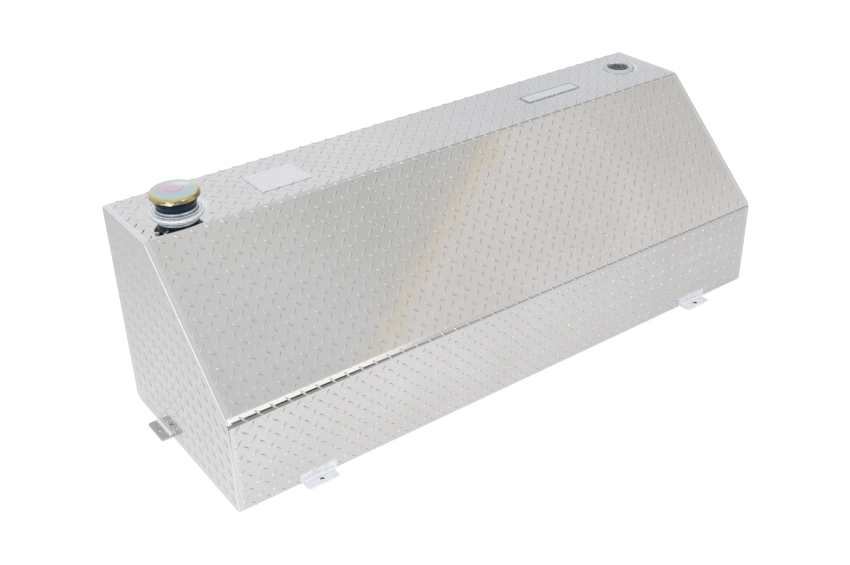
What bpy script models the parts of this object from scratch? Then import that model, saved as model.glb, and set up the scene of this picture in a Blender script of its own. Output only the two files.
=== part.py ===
"""Transfer tank for a truck bed: a wedge-fronted box of tread plate with a filler and a pump port.

Units are metres and +Z is up. The front faces -Y and the length runs along X.
The origin is the middle of the footprint, on the surface that the mounting tabs stand on.
"""

import math

import bmesh
import bpy
from mathutils import Matrix, Vector

# Tank body
TANK_LENGTH = 1.524
TANK_DEPTH = 0.508
TANK_HEIGHT = 0.505
FRONT_HEIGHT = 0.226
TOP_DEPTH = 0.216
SHEET = 0.0032
TREAD_HEIGHT = 0.0015
WIDE_BEND = 0.022
TIGHT_BEND = 0.006
SEAT_GAP = 0.0003

# Seam where the folded sheet closes on itself under the tank
SEAM_FROM_FRONT = 0.130
SEAM_WIDTH = 0.004
SEAM_CROWN = 0.0008

# Baffles
BAFFLE_FROM_END = 0.508
BAFFLE_SHEET = 0.003
BAFFLE_FLANGE = 0.025
FLANGE_RELIEF = 0.008
LOWER_CROP = 0.045
UPPER_CROP = 0.030
FOLD_CROP = 0.020
FLOW_HOLE_RADIUS = 0.050
LOW_HOLES_UP = 0.120
LOW_HOLES_APART = 0.220
HIGH_HOLE_UP = 0.335
HIGH_HOLE_FROM_BACK = 0.135

# Filler: welded ring, neck and bayonet cap, as heights above the top sheet
FILLER_FROM_LEFT = 0.115
FILLER_FROM_BACK = 0.1295
NECK_BORE = 0.037
NECK_WALL = 0.0047
NECK_HEIGHT = 0.045
NECK_FLARE = 0.0038
NECK_FLARE_RISE = 0.010
CAVITY_WALL = 0.002
CAVITY_DEPTH = 0.014
LIP_REACH = 0.0057
LIP_THICKNESS = 0.003
RING_WALL = 0.004
RING_HEIGHT = 0.015
RING_STEP = 0.002
RING_FLANGE = 0.006
RING_FLANGE_THICKNESS = 0.006
RING_SPIGOT_WALL = 0.0025
RING_SPIGOT_DEPTH = 0.012
RING_FLOOR = 0.002
EDGE_BREAK = 0.001

# Cap
GASKET_THICKNESS = 0.0027
GASKET_WIDTH = 0.0095
LOCK_PLATE = 0.0015
HOOK_CLEARANCE = 0.0015
ARM_GAP = 0.0015
ARM_HALF_ANGLE = math.radians(18)
NOTCH_MARGIN = math.radians(3)
LOCK_TURN = math.radians(90)
STOP_WIDTH = math.radians(7)
STOP_MARGIN = math.radians(1.5)
STOP_DROP = 0.0045
SHELL = 0.0012
CROWN_RISE = 0.0047
CROWN_PAD_RADIUS = 0.0195
CROWN_PAD_RISE = 0.0006
SHELL_OVERLAP = 0.002
SKIRT_CLEARANCE = 0.0066
SKIRT_FLARE = 0.0007
SKIRT_BELOW_RIM = 0.005
EAR_REACH = 0.0022
EAR_HEIGHT = 0.0026
EAR_HALF_ANGLE = math.radians(8)
EAR_AZIMUTH = math.radians(235)
PINHOLE_RADIUS = 0.0009
PINHOLE_FROM_AXIS = 0.026

# Vent valve inside the cap
VENT_CUP_RADIUS = 0.010
VENT_CUP_WALL = 0.0012
VENT_CUP_DEPTH = 0.009
VENT_CUP_FLANGE = 0.0028
VENT_FLOOR = 0.0015
VENT_HOLE_RADIUS = 0.0013
VENT_HOLE_CIRCLE = 0.0061
VENT_HOLES = 4
STEM_RADIUS = 0.002
STEM_CLEARANCE = 0.0003
VALVE_DISC = 0.0015
VALVE_RIM_GAP = 0.002
VALVE_HEAD_RADIUS = 0.0042
VALVE_HEAD = 0.0012
SPRING_LENGTH = 0.0052
SPRING_WIRE = 0.0004
SPRING_RADIUS = 0.0031
SPRING_TURNS = 3.5

# Pump port
PORT_FROM_RIGHT = 0.0945
PORT_FROM_BACK = 0.0953
PORT_BORE = 0.029
PORT_WALL = 0.0075
PORT_COLLAR = 0.0025
PORT_COLLAR_HEIGHT = 0.005
PORT_DEPTH = 0.022
PORT_CHAMFER = 0.002

# Mounting tabs
TAB_LENGTH = 0.076
TAB_REACH = 0.0265
TAB_THICKNESS = 0.005
TAB_CORNER = 0.005
TAB_HOLE_RADIUS = 0.0045
TAB_HOLE_FROM_FACE = 0.0145
FRONT_TAB_FROM_END = 0.190
END_TAB_FROM_FRONT = 0.3535

# Weld beads
RING_BEAD = 0.005
PORT_BEAD = 0.004
TAB_BEAD = 0.006
TAB_BEAD_SHORT = 0.003

# Bare plate and bare label on the top sheet
PLATE_LENGTH = 0.173
PLATE_WIDTH = 0.043
PLATE_THICKNESS = 0.0006
PLATE_CORNER = 0.002
PLATE_FROM_RIGHT = 0.359
PLATE_FROM_BACK = 0.1165
LABEL_LENGTH = 0.124
LABEL_WIDTH = 0.095
LABEL_THICKNESS = 0.0004
LABEL_FROM_LEFT = 0.362
LABEL_FROM_BACK = 0.1175

# Facets
BEND_FACETS = 8
EDGE_FACETS = 5
ROUND_FACETS = 48
CAP_FACETS = 60
SMALL_FACETS = 24
BEAD_FACETS = 4
SPRING_FACETS = 14
WIRE_FACETS = 6
CROWN_FACETS = 4
STOP_FACETS = 2
NOTCH_FACETS = 8
ARM_FACETS = 6
EAR_FACETS = 4
PINHOLE_FACETS = 12
VENT_HOLE_FACETS = 10
TAB_CORNER_FACETS = 4
PRINT_CORNER_FACETS = 3
SHARP_ANGLE = math.radians(30)
CUT_MARGIN = 0.001

# Places worked out from the sizes above
LEFT_X = -TANK_LENGTH / 2
RIGHT_X = TANK_LENGTH / 2
FRONT_Y = (TAB_REACH - TANK_DEPTH) / 2
BACK_Y = FRONT_Y + TANK_DEPTH
BOTTOM_Z = TREAD_HEIGHT
TOP_Z = BOTTOM_Z + TANK_HEIGHT
INNER_INSET = SHEET + SEAT_GAP

SOCKET_RADIUS = NECK_BORE + NECK_WALL + SEAT_GAP
RING_LIP_RADIUS = SOCKET_RADIUS + RING_WALL
RING_FLANGE_RADIUS = RING_LIP_RADIUS + RING_FLANGE
RING_SPIGOT_RADIUS = SOCKET_RADIUS + RING_SPIGOT_WALL
NECK_RADIUS = NECK_BORE + NECK_WALL
NECK_RIM_RADIUS = NECK_RADIUS + NECK_FLARE
CAVITY_RADIUS = NECK_RADIUS - CAVITY_WALL
LIP_BORE = CAVITY_RADIUS - LIP_REACH
LIP_UNDERSIDE = NECK_HEIGHT - LIP_THICKNESS
HOOK_RADIUS = CAVITY_RADIUS - HOOK_CLEARANCE
NOTCH_RADIUS = CAVITY_RADIUS - HOOK_CLEARANCE / 2
ARM_OUTER = LIP_BORE - ARM_GAP
ARM_INNER = ARM_OUTER - LOCK_PLATE
PLATE_UNDERSIDE = NECK_HEIGHT + GASKET_THICKNESS + 2 * SEAT_GAP
PLATE_TOP = PLATE_UNDERSIDE + LOCK_PLATE
SHELL_EDGE_RADIUS = NECK_RIM_RADIUS + SHELL_OVERLAP
SKIRT_RADIUS = NECK_RIM_RADIUS + SKIRT_CLEARANCE + SHELL
SHOULDER_RADIUS = SKIRT_RADIUS - SHELL_EDGE_RADIUS
SHELL_EDGE_TOP = PLATE_TOP + SEAT_GAP + SHELL
CROWN_TOP = SHELL_EDGE_TOP + CROWN_RISE
SKIRT_BOTTOM = NECK_HEIGHT - SKIRT_BELOW_RIM
VENT_CUP_TOP = PLATE_TOP + SEAT_GAP
VENT_FLOOR_TOP = PLATE_UNDERSIDE - VENT_CUP_DEPTH + VENT_FLOOR
VALVE_SEAT = PLATE_UNDERSIDE - VENT_CUP_DEPTH - SEAT_GAP
VALVE_RADIUS = VENT_CUP_RADIUS - VALVE_RIM_GAP
SPRING_BOTTOM = VENT_FLOOR_TOP + SEAT_GAP
VALVE_HEAD_UNDERSIDE = SPRING_BOTTOM + SPRING_LENGTH + SEAT_GAP
PORT_SPIGOT_RADIUS = PORT_BORE + PORT_WALL
PORT_COLLAR_RADIUS = PORT_SPIGOT_RADIUS + PORT_COLLAR

FILLER_PLACE = Vector((LEFT_X + FILLER_FROM_LEFT, BACK_Y - FILLER_FROM_BACK, TOP_Z))
PORT_PLACE = Vector((RIGHT_X - PORT_FROM_RIGHT, BACK_Y - PORT_FROM_BACK, TOP_Z))


def clear_scene():
    for obj in list(bpy.data.objects):
        bpy.data.objects.remove(obj, do_unlink=True)


def make_material(name, colour, metallic, roughness):
    material = bpy.data.materials.new(name)
    material.use_nodes = True
    shader = material.node_tree.nodes["Principled BSDF"]
    shader.inputs["Base Color"].default_value = (*colour, 1)
    shader.inputs["Metallic"].default_value = metallic
    shader.inputs["Roughness"].default_value = roughness
    material.diffuse_color = (*colour, 1)
    return material


def make_object(name, mesh_data, material, place=(0, 0, 0), turn=0.0):
    """Takes a bmesh, makes its faces point out and puts it in the scene."""
    bmesh.ops.recalc_face_normals(mesh_data, faces=mesh_data.faces)
    mesh = bpy.data.meshes.new(name)
    mesh_data.to_mesh(mesh)
    mesh_data.free()
    mesh.shade_smooth()
    mesh.set_sharp_from_angle(angle=SHARP_ANGLE)
    obj = bpy.data.objects.new(name, mesh)
    obj.location = place
    obj.rotation_euler.z = turn
    if material:
        mesh.materials.append(material)
    bpy.context.scene.collection.objects.link(obj)
    return obj


def combine(target, helper, operation):
    """Adds a Boolean of a hidden helper to the target."""
    helper.hide_render = True
    helper.display_type = "WIRE"
    modifier = target.modifiers.new(helper.name, "BOOLEAN")
    modifier.operation = operation
    modifier.solver = "EXACT"
    modifier.object = helper


def arc(centre, radius, start, sweep, facets):
    """Points of an arc, both ends included."""
    points = []
    for step in range(facets + 1):
        angle = start + sweep * step / facets
        points.append((centre[0] + radius * math.cos(angle), centre[1] + radius * math.sin(angle)))
    return points


def inset_corners(corners, inset):
    """Moves every edge of a counter-clockwise outline inwards by the inset."""
    moved = []
    for index, corner in enumerate(corners):
        before = (corner - corners[index - 1]).normalized()
        after = (corners[(index + 1) % len(corners)] - corner).normalized()
        inward_before = Vector((-before.y, before.x))
        inward_after = Vector((-after.y, after.x))
        share = inset / (1 + inward_before.dot(inward_after))
        moved.append(corner + (inward_before + inward_after) * share)
    return moved


def rounded_outline(corners, radii, facets):
    """A counter-clockwise outline with an arc at each corner."""
    points = []
    for index, corner in enumerate(corners):
        before = (corner - corners[index - 1]).normalized()
        after = (corners[(index + 1) % len(corners)] - corner).normalized()
        inward = Vector((-before.y, before.x))
        sweep = before.angle_signed(after) * -1
        radius = radii[index]
        centre = corner - before * radius * math.tan(sweep / 2) + inward * radius
        start = math.atan2(-inward.y, -inward.x)
        points += arc(centre, radius, start, sweep, facets[index])
    return points


def tank_corners():
    """Corners of the end profile as (y, z), seen from the left end, from the front's foot."""
    slant_top = Vector((BACK_Y - TOP_DEPTH, TOP_Z))
    return [
        Vector((FRONT_Y, BOTTOM_Z)),
        Vector((BACK_Y, BOTTOM_Z)),
        Vector((BACK_Y, TOP_Z)),
        slant_top,
        Vector((FRONT_Y, BOTTOM_Z + FRONT_HEIGHT)),
    ]


def tank_outline(inset):
    """The end profile, moved inwards by the inset."""
    bends = [TIGHT_BEND, WIDE_BEND, TIGHT_BEND, WIDE_BEND, WIDE_BEND]
    facets = [EDGE_FACETS, BEND_FACETS, EDGE_FACETS, BEND_FACETS, BEND_FACETS]
    radii = [bend - inset for bend in bends]
    return rounded_outline(inset_corners(tank_corners(), inset), radii, facets)


def extrude_outline(mesh_data, outline, start, travel):
    """Makes a closed solid from points in 3-D, moved along travel."""
    bottom = [mesh_data.verts.new(Vector(point) + Vector(start)) for point in outline]
    face = mesh_data.faces.new(bottom)
    grown = bmesh.ops.extrude_face_region(mesh_data, geom=[face], use_keep_orig=True)
    moved = [item for item in grown["geom"] if isinstance(item, bmesh.types.BMVert)]
    bmesh.ops.translate(mesh_data, verts=moved, vec=Vector(travel))


def along_x(mesh_data, outline, start_x, end_x):
    points = [(0, y, z) for y, z in outline]
    extrude_outline(mesh_data, points, (start_x, 0, 0), (end_x - start_x, 0, 0))


def along_z(mesh_data, outline, start_z, end_z):
    points = [(x, y, 0) for x, y in outline]
    extrude_outline(mesh_data, points, (0, 0, start_z), (0, 0, end_z - start_z))


def spun(profile, facets, start=0.0, sweep=math.tau, mesh_data=None):
    """Turns a closed (radius, height) profile about Z. Points on the axis close on it."""
    mesh_data = mesh_data or bmesh.new()
    whole = sweep == math.tau
    verts = [mesh_data.verts.new((radius, 0, height)) for radius, height in profile]
    bmesh.ops.rotate(mesh_data, verts=verts, cent=(0, 0, 0), matrix=Matrix.Rotation(start, 3, "Z"))
    if whole:
        edges = [mesh_data.edges.new((vert, verts[index - 1])) for index, vert in enumerate(verts)]
        edges = [edge for edge in edges if max(vert.co.xy.length for vert in edge.verts) > 0]
        section = verts + edges
    else:
        section = [mesh_data.faces.new(verts)]
    bmesh.ops.spin(
        mesh_data,
        geom=section,
        cent=(0, 0, 0),
        axis=(0, 0, 1),
        angle=sweep,
        steps=facets,
        use_merge=whole,
    )
    loose = [edge for edge in mesh_data.edges if not edge.link_faces]
    bmesh.ops.delete(mesh_data, geom=loose, context="EDGES")
    bmesh.ops.remove_doubles(mesh_data, verts=mesh_data.verts, dist=0.000001)
    return mesh_data


def drill(target, name, places, radius, low, high, axis="Z"):
    """Cuts round holes through the target, at places across the axis."""
    mesh_data = bmesh.new()
    for first, second in places:
        hole = arc((first, second), radius, 0, math.tau, ROUND_FACETS)[:-1]
        if axis == "Z":
            along_z(mesh_data, hole, low, high)
        else:
            along_x(mesh_data, hole, low, high)
    cutter = make_object(name, mesh_data, None)
    combine(target, cutter, "DIFFERENCE")
    return cutter


def fillet_profile(corner_r, corner_z, leg):
    """Section of a weld bead in a corner, bulging outwards."""
    curve = arc((corner_r, corner_z), leg, 0, math.pi / 2, BEAD_FACETS)
    return [(corner_r, corner_z), *curve]


def make_wrapper(material):
    """The folded sheet: bottom, back, top, slant and front in one piece, open at the seam."""
    outer = tank_outline(0)
    inner = tank_outline(SHEET)
    seam_y = FRONT_Y + SEAM_FROM_FRONT
    first_edge = seam_y + SEAM_WIDTH / 2
    second_edge = seam_y - SEAM_WIDTH / 2
    first_bend = EDGE_FACETS + 1
    loop = [(first_edge, BOTTOM_Z), *outer[first_bend:], *outer[:first_bend], (second_edge, BOTTOM_Z)]
    back = [(first_edge, BOTTOM_Z + SHEET), *inner[first_bend:], *inner[:first_bend]]
    back.append((second_edge, BOTTOM_Z + SHEET))
    mesh_data = bmesh.new()
    along_x(mesh_data, loop + back[::-1], LEFT_X + INNER_INSET, RIGHT_X - INNER_INSET)
    wrapper = make_object("wrapper_sheet", mesh_data, material)
    low = TOP_Z - SHEET - CUT_MARGIN
    high = TOP_Z + CUT_MARGIN
    filler_hole = RING_SPIGOT_RADIUS + SEAT_GAP
    port_hole = PORT_SPIGOT_RADIUS + SEAT_GAP
    drill(wrapper, "filler_hole_cutter", [FILLER_PLACE.xy], filler_hole, low, high)
    drill(wrapper, "port_hole_cutter", [PORT_PLACE.xy], port_hole, low, high)
    return wrapper


def make_seam_weld(material):
    """The bead that closes the wrapper's two edges, flush inside and crowned outside."""
    seam_y = FRONT_Y + SEAM_FROM_FRONT
    half = SEAM_WIDTH / 2 - SEAT_GAP
    chord_sweep = 2 * math.atan(SEAM_CROWN / half) * 2
    crown_radius = half / math.sin(chord_sweep / 2)
    reach = crown_radius * math.cos(chord_sweep / 2)
    start = math.pi / 2 - chord_sweep / 2
    inside = [(seam_y + half, BOTTOM_Z + SHEET), (seam_y - half, BOTTOM_Z + SHEET)]
    outside = arc((seam_y, BOTTOM_Z + reach), crown_radius, start + math.pi, chord_sweep, BEAD_FACETS)
    mesh_data = bmesh.new()
    along_x(mesh_data, inside + outside, LEFT_X + INNER_INSET, RIGHT_X - INNER_INSET)
    return make_object("seam_weld", mesh_data, material)


def make_end_panel(name, outer_x, inward, material):
    """A flat end that sits just inside the wrapper's edge."""
    mesh_data = bmesh.new()
    along_x(mesh_data, tank_outline(INNER_INSET), outer_x, outer_x + inward * SHEET)
    return make_object(name, mesh_data, material)


def make_end_weld(name, outer_x, inward, material):
    """The corner bead all round an end, rounded on the outside."""
    section = [(SHEET, outer_x + inward * SHEET)]
    for inset, depth in arc((SHEET, SHEET), SHEET, math.pi, math.pi / 2, BEAD_FACETS):
        section.append((inset, outer_x + inward * depth))
    mesh_data = bmesh.new()
    rings = []
    for inset, x in section:
        rings.append([mesh_data.verts.new((x, y, z)) for y, z in tank_outline(inset)])
    count = len(rings[0])
    for ring, after in zip(rings, rings[1:] + rings[:1]):
        for index in range(count):
            following = (index + 1) % count
            mesh_data.faces.new((ring[index], ring[following], after[following], after[index]))
    return make_object(name, mesh_data, material)


def cropped_corners(corners, crops):
    """Cuts each corner off at the given distance along both its edges."""
    points = []
    for index, corner in enumerate(corners):
        before = (corner - corners[index - 1]).normalized()
        after = (corners[(index + 1) % len(corners)] - corner).normalized()
        points.append(corner - before * crops[index])
        points.append(corner + after * crops[index])
    return points


def make_baffle(name, middle_x, material):
    """A cross wall with a bent flange on each side, corner gaps and flow holes."""
    crops = [LOWER_CROP, LOWER_CROP, UPPER_CROP, FOLD_CROP, FOLD_CROP]
    outline = cropped_corners(inset_corners(tank_corners(), INNER_INSET), crops)
    plate_inset = INNER_INSET + BAFFLE_SHEET / 2
    plate_outline = cropped_corners(inset_corners(tank_corners(), plate_inset), crops)
    low_x = middle_x - BAFFLE_SHEET / 2
    high_x = middle_x + BAFFLE_SHEET / 2
    plate = bmesh.new()
    along_x(plate, plate_outline, low_x, high_x)
    baffle = make_object(name, plate, material)

    flanges = bmesh.new()
    for index in range(1, len(outline), 2):
        start = outline[index]
        end = outline[(index + 1) % len(outline)]
        run = (end - start).normalized()
        inward = Vector((-run.y, run.x)) * BAFFLE_SHEET
        start = start + run * FLANGE_RELIEF
        end = end - run * FLANGE_RELIEF
        strip = [start, end, end + inward, start + inward]
        along_x(flanges, strip, middle_x, middle_x + BAFFLE_FLANGE)
    helper = make_object(name + "_flange_helper", flanges, None)
    combine(baffle, helper, "UNION")

    middle_y = (FRONT_Y + BACK_Y) / 2
    holes = [
        (middle_y - LOW_HOLES_APART / 2, BOTTOM_Z + LOW_HOLES_UP),
        (middle_y + LOW_HOLES_APART / 2, BOTTOM_Z + LOW_HOLES_UP),
        (BACK_Y - HIGH_HOLE_FROM_BACK, BOTTOM_Z + HIGH_HOLE_UP),
    ]
    cut = (low_x - CUT_MARGIN, high_x + CUT_MARGIN)
    drill(baffle, name + "_flow_cutter", holes, FLOW_HOLE_RADIUS, *cut, axis="X")
    return baffle


def make_filler_ring(material):
    """The welded ring that the neck stands in."""
    profile = [
        (NECK_BORE, -RING_SPIGOT_DEPTH),
        (RING_SPIGOT_RADIUS, -RING_SPIGOT_DEPTH),
        (RING_SPIGOT_RADIUS, SEAT_GAP),
        (RING_FLANGE_RADIUS, SEAT_GAP),
        (RING_FLANGE_RADIUS, RING_FLANGE_THICKNESS - EDGE_BREAK),
        (RING_FLANGE_RADIUS - EDGE_BREAK, RING_FLANGE_THICKNESS),
        (RING_LIP_RADIUS + RING_STEP, RING_FLANGE_THICKNESS),
        (RING_LIP_RADIUS, RING_FLANGE_THICKNESS + RING_STEP),
        (RING_LIP_RADIUS, RING_HEIGHT - EDGE_BREAK),
        (RING_LIP_RADIUS - EDGE_BREAK, RING_HEIGHT),
        (SOCKET_RADIUS + EDGE_BREAK, RING_HEIGHT),
        (SOCKET_RADIUS, RING_HEIGHT - EDGE_BREAK),
        (SOCKET_RADIUS, RING_FLOOR),
        (NECK_BORE, RING_FLOOR),
    ]
    return make_object("filler_ring", spun(profile, ROUND_FACETS), material, FILLER_PLACE)


def make_ring_weld(name, radius, leg, place, material):
    """The bead between a round flange and the top sheet."""
    profile = fillet_profile(radius + SEAT_GAP, SEAT_GAP, leg)
    return make_object(name, spun(profile, ROUND_FACETS), material, place)


def make_filler_neck(material):
    """The neck, with a flared rim and an inner lip that the cap hooks under."""
    foot = RING_FLOOR + SEAT_GAP
    flare_start = RING_HEIGHT + RING_STEP
    cavity_floor = NECK_HEIGHT - CAVITY_DEPTH
    profile = [
        (NECK_BORE, foot),
        (NECK_RADIUS, foot),
        (NECK_RADIUS, flare_start),
        (NECK_RIM_RADIUS, flare_start + NECK_FLARE_RISE),
        (NECK_RIM_RADIUS, NECK_HEIGHT - EDGE_BREAK),
        (NECK_RIM_RADIUS - EDGE_BREAK, NECK_HEIGHT),
        (LIP_BORE, NECK_HEIGHT),
        (LIP_BORE, LIP_UNDERSIDE),
        (CAVITY_RADIUS, LIP_UNDERSIDE),
        (CAVITY_RADIUS, cavity_floor),
        (NECK_BORE, cavity_floor - (CAVITY_RADIUS - NECK_BORE)),
    ]
    neck = make_object("filler_neck", spun(profile, ROUND_FACETS), material, FILLER_PLACE)

    stop_section = [
        (LIP_BORE + CUT_MARGIN, LIP_UNDERSIDE - STOP_DROP),
        (CAVITY_RADIUS + CAVITY_WALL / 2, LIP_UNDERSIDE - STOP_DROP),
        (CAVITY_RADIUS + CAVITY_WALL / 2, LIP_UNDERSIDE + LIP_THICKNESS / 2),
        (LIP_BORE + CUT_MARGIN, LIP_UNDERSIDE + LIP_THICKNESS / 2),
    ]
    notch_section = [
        (LIP_BORE - CUT_MARGIN, LIP_UNDERSIDE - CUT_MARGIN),
        (NOTCH_RADIUS, LIP_UNDERSIDE - CUT_MARGIN),
        (NOTCH_RADIUS, NECK_HEIGHT + CUT_MARGIN),
        (LIP_BORE - CUT_MARGIN, NECK_HEIGHT + CUT_MARGIN),
    ]
    stops = bmesh.new()
    notches = bmesh.new()
    notch_half = ARM_HALF_ANGLE + NOTCH_MARGIN
    for side in (0, math.pi):
        arm = EAR_AZIMUTH + side
        stop_start = arm - ARM_HALF_ANGLE - STOP_MARGIN - STOP_WIDTH
        spun_sector(stops, stop_section, stop_start, STOP_WIDTH, STOP_FACETS)
        spun_sector(notches, notch_section, arm + LOCK_TURN - notch_half, 2 * notch_half, NOTCH_FACETS)
    stop_helper = make_object("neck_stop_helper", stops, None, FILLER_PLACE)
    notch_cutter = make_object("neck_notch_cutter", notches, None, FILLER_PLACE)
    combine(neck, stop_helper, "UNION")
    combine(neck, notch_cutter, "DIFFERENCE")
    return neck


def spun_sector(mesh_data, section, start, sweep, facets):
    """Adds a solid made by turning a section through part of a circle."""
    piece = spun(section, facets, start, sweep)
    holder = bpy.data.meshes.new("sector")
    piece.to_mesh(holder)
    piece.free()
    mesh_data.from_mesh(holder)
    bpy.data.meshes.remove(holder)


def crown_height(radius):
    """Height of the cap's outside at a radius, on its shallow dome."""
    share = radius / SHELL_EDGE_RADIUS
    return SHELL_EDGE_TOP + CROWN_RISE * (1 - share * share)


def make_cap_shell(material):
    """The pressed cap: shallow crown with a raised pad, rounded shoulder, skirt and two grip ears."""
    shoulder_centre = (SHELL_EDGE_RADIUS, SHELL_EDGE_TOP - SHOULDER_RADIUS)
    pad_top = CROWN_TOP + CROWN_PAD_RISE
    span = SHELL_EDGE_RADIUS - CROWN_PAD_RADIUS
    outside = [(0, pad_top), (CROWN_PAD_RADIUS - CROWN_PAD_RISE, pad_top)]
    outside.append((CROWN_PAD_RADIUS + CROWN_PAD_RISE, crown_height(CROWN_PAD_RADIUS + CROWN_PAD_RISE)))
    for step in range(1, CROWN_FACETS):
        radius = CROWN_PAD_RADIUS + span * step / CROWN_FACETS
        outside.append((radius, crown_height(radius)))
    outside += arc(shoulder_centre, SHOULDER_RADIUS, math.pi / 2, -math.pi / 2, EDGE_FACETS)
    outside.append((SKIRT_RADIUS + SKIRT_FLARE, SKIRT_BOTTOM))
    inside = [(SKIRT_RADIUS + SKIRT_FLARE - SHELL, SKIRT_BOTTOM)]
    inside += arc(shoulder_centre, SHOULDER_RADIUS - SHELL, 0, math.pi / 2, EDGE_FACETS)
    for step in range(CROWN_FACETS - 1, 0, -1):
        radius = SHELL_EDGE_RADIUS * step / CROWN_FACETS
        inside.append((radius, crown_height(radius) - SHELL))
    inside.append((0, CROWN_TOP - SHELL))
    shell = make_object("cap_shell", spun(outside + inside, CAP_FACETS), material, FILLER_PLACE)

    ear_section = [
        (SKIRT_RADIUS - SHELL / 2, SKIRT_BOTTOM),
        (SKIRT_RADIUS + SKIRT_FLARE + EAR_REACH, SKIRT_BOTTOM + EAR_HEIGHT / 4),
        (SKIRT_RADIUS + SKIRT_FLARE + EAR_REACH, SKIRT_BOTTOM + EAR_HEIGHT),
        (SKIRT_RADIUS - SHELL / 2, SKIRT_BOTTOM + 2 * EAR_HEIGHT),
    ]
    ears = bmesh.new()
    for side in (0, math.pi):
        spun_sector(ears, ear_section, EAR_AZIMUTH + side - EAR_HALF_ANGLE, 2 * EAR_HALF_ANGLE, EAR_FACETS)
    helper = make_object("cap_ear_helper", ears, None, FILLER_PLACE)
    combine(shell, helper, "UNION")

    pinhole = bmesh.new()
    centre = (PINHOLE_FROM_AXIS * math.cos(EAR_AZIMUTH), PINHOLE_FROM_AXIS * math.sin(EAR_AZIMUTH))
    ring = arc(centre, PINHOLE_RADIUS, 0, math.tau, PINHOLE_FACETS)[:-1]
    along_z(pinhole, ring, CROWN_TOP - CROWN_RISE - SHELL, CROWN_TOP + CUT_MARGIN)
    cutter = make_object("cap_pinhole_cutter", pinhole, None, FILLER_PLACE)
    combine(shell, cutter, "DIFFERENCE")
    return shell


def make_cap_gasket(material):
    """The flat ring that the cap presses on the neck's lip."""
    low = NECK_HEIGHT + SEAT_GAP
    high = low + GASKET_THICKNESS
    outer = NECK_RIM_RADIUS - EDGE_BREAK
    inner = outer - GASKET_WIDTH
    profile = [(inner, low), (outer, low), (outer, high), (inner, high)]
    return make_object("cap_gasket", spun(profile, ROUND_FACETS), material, FILLER_PLACE)


def make_lock_plate(material):
    """The plate inside the cap, with two arms whose feet hook under the neck's lip."""
    hole = VENT_CUP_RADIUS + SEAT_GAP
    profile = [
        (hole, PLATE_UNDERSIDE),
        (NECK_RIM_RADIUS, PLATE_UNDERSIDE),
        (NECK_RIM_RADIUS, PLATE_TOP),
        (hole, PLATE_TOP),
    ]
    plate = make_object("cap_lock_plate", spun(profile, ROUND_FACETS), material, FILLER_PLACE)
    foot_top = LIP_UNDERSIDE - SEAT_GAP
    arm_section = [
        (ARM_INNER, foot_top - LOCK_PLATE),
        (HOOK_RADIUS, foot_top - LOCK_PLATE),
        (HOOK_RADIUS, foot_top),
        (ARM_OUTER, foot_top),
        (ARM_OUTER, PLATE_TOP - LOCK_PLATE / 2),
        (ARM_INNER, PLATE_TOP - LOCK_PLATE / 2),
    ]
    arms = bmesh.new()
    for side in (0, math.pi):
        spun_sector(arms, arm_section, EAR_AZIMUTH + side - ARM_HALF_ANGLE, 2 * ARM_HALF_ANGLE, ARM_FACETS)
    helper = make_object("cap_arm_helper", arms, None, FILLER_PLACE)
    combine(plate, helper, "UNION")
    return plate


def make_vent_cup(material):
    """The small cup under the lock plate that guides the vent valve."""
    inner = VENT_CUP_RADIUS - VENT_CUP_WALL
    floor_low = VENT_FLOOR_TOP - VENT_FLOOR
    guide = STEM_RADIUS + STEM_CLEARANCE
    profile = [
        (guide, floor_low),
        (VENT_CUP_RADIUS, floor_low),
        (VENT_CUP_RADIUS, VENT_CUP_TOP),
        (VENT_CUP_RADIUS + VENT_CUP_FLANGE, VENT_CUP_TOP),
        (VENT_CUP_RADIUS + VENT_CUP_FLANGE, VENT_CUP_TOP + VENT_CUP_WALL),
        (inner, VENT_CUP_TOP + VENT_CUP_WALL),
        (inner, VENT_FLOOR_TOP),
        (guide, VENT_FLOOR_TOP),
    ]
    cup = make_object("vent_cup", spun(profile, SMALL_FACETS), material, FILLER_PLACE)
    holes = bmesh.new()
    for index in range(VENT_HOLES):
        angle = math.tau * index / VENT_HOLES
        centre = (VENT_HOLE_CIRCLE * math.cos(angle), VENT_HOLE_CIRCLE * math.sin(angle))
        ring = arc(centre, VENT_HOLE_RADIUS, 0, math.tau, VENT_HOLE_FACETS)[:-1]
        along_z(holes, ring, floor_low - CUT_MARGIN, VENT_FLOOR_TOP + CUT_MARGIN)
    cutter = make_object("vent_hole_cutter", holes, None, FILLER_PLACE)
    combine(cup, cutter, "DIFFERENCE")
    return cup


def make_vent_valve(material):
    """The valve: a disc that closes the cup's holes from below, its stem and its spring head."""
    head_top = VALVE_HEAD_UNDERSIDE + VALVE_HEAD
    profile = [
        (0, VALVE_SEAT - VALVE_DISC),
        (VALVE_RADIUS, VALVE_SEAT - VALVE_DISC),
        (VALVE_RADIUS, VALVE_SEAT),
        (STEM_RADIUS, VALVE_SEAT),
        (STEM_RADIUS, VALVE_HEAD_UNDERSIDE),
        (VALVE_HEAD_RADIUS, VALVE_HEAD_UNDERSIDE),
        (VALVE_HEAD_RADIUS, head_top),
        (0, head_top),
    ]
    return make_object("vent_valve", spun(profile, SMALL_FACETS), material, FILLER_PLACE)


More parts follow.
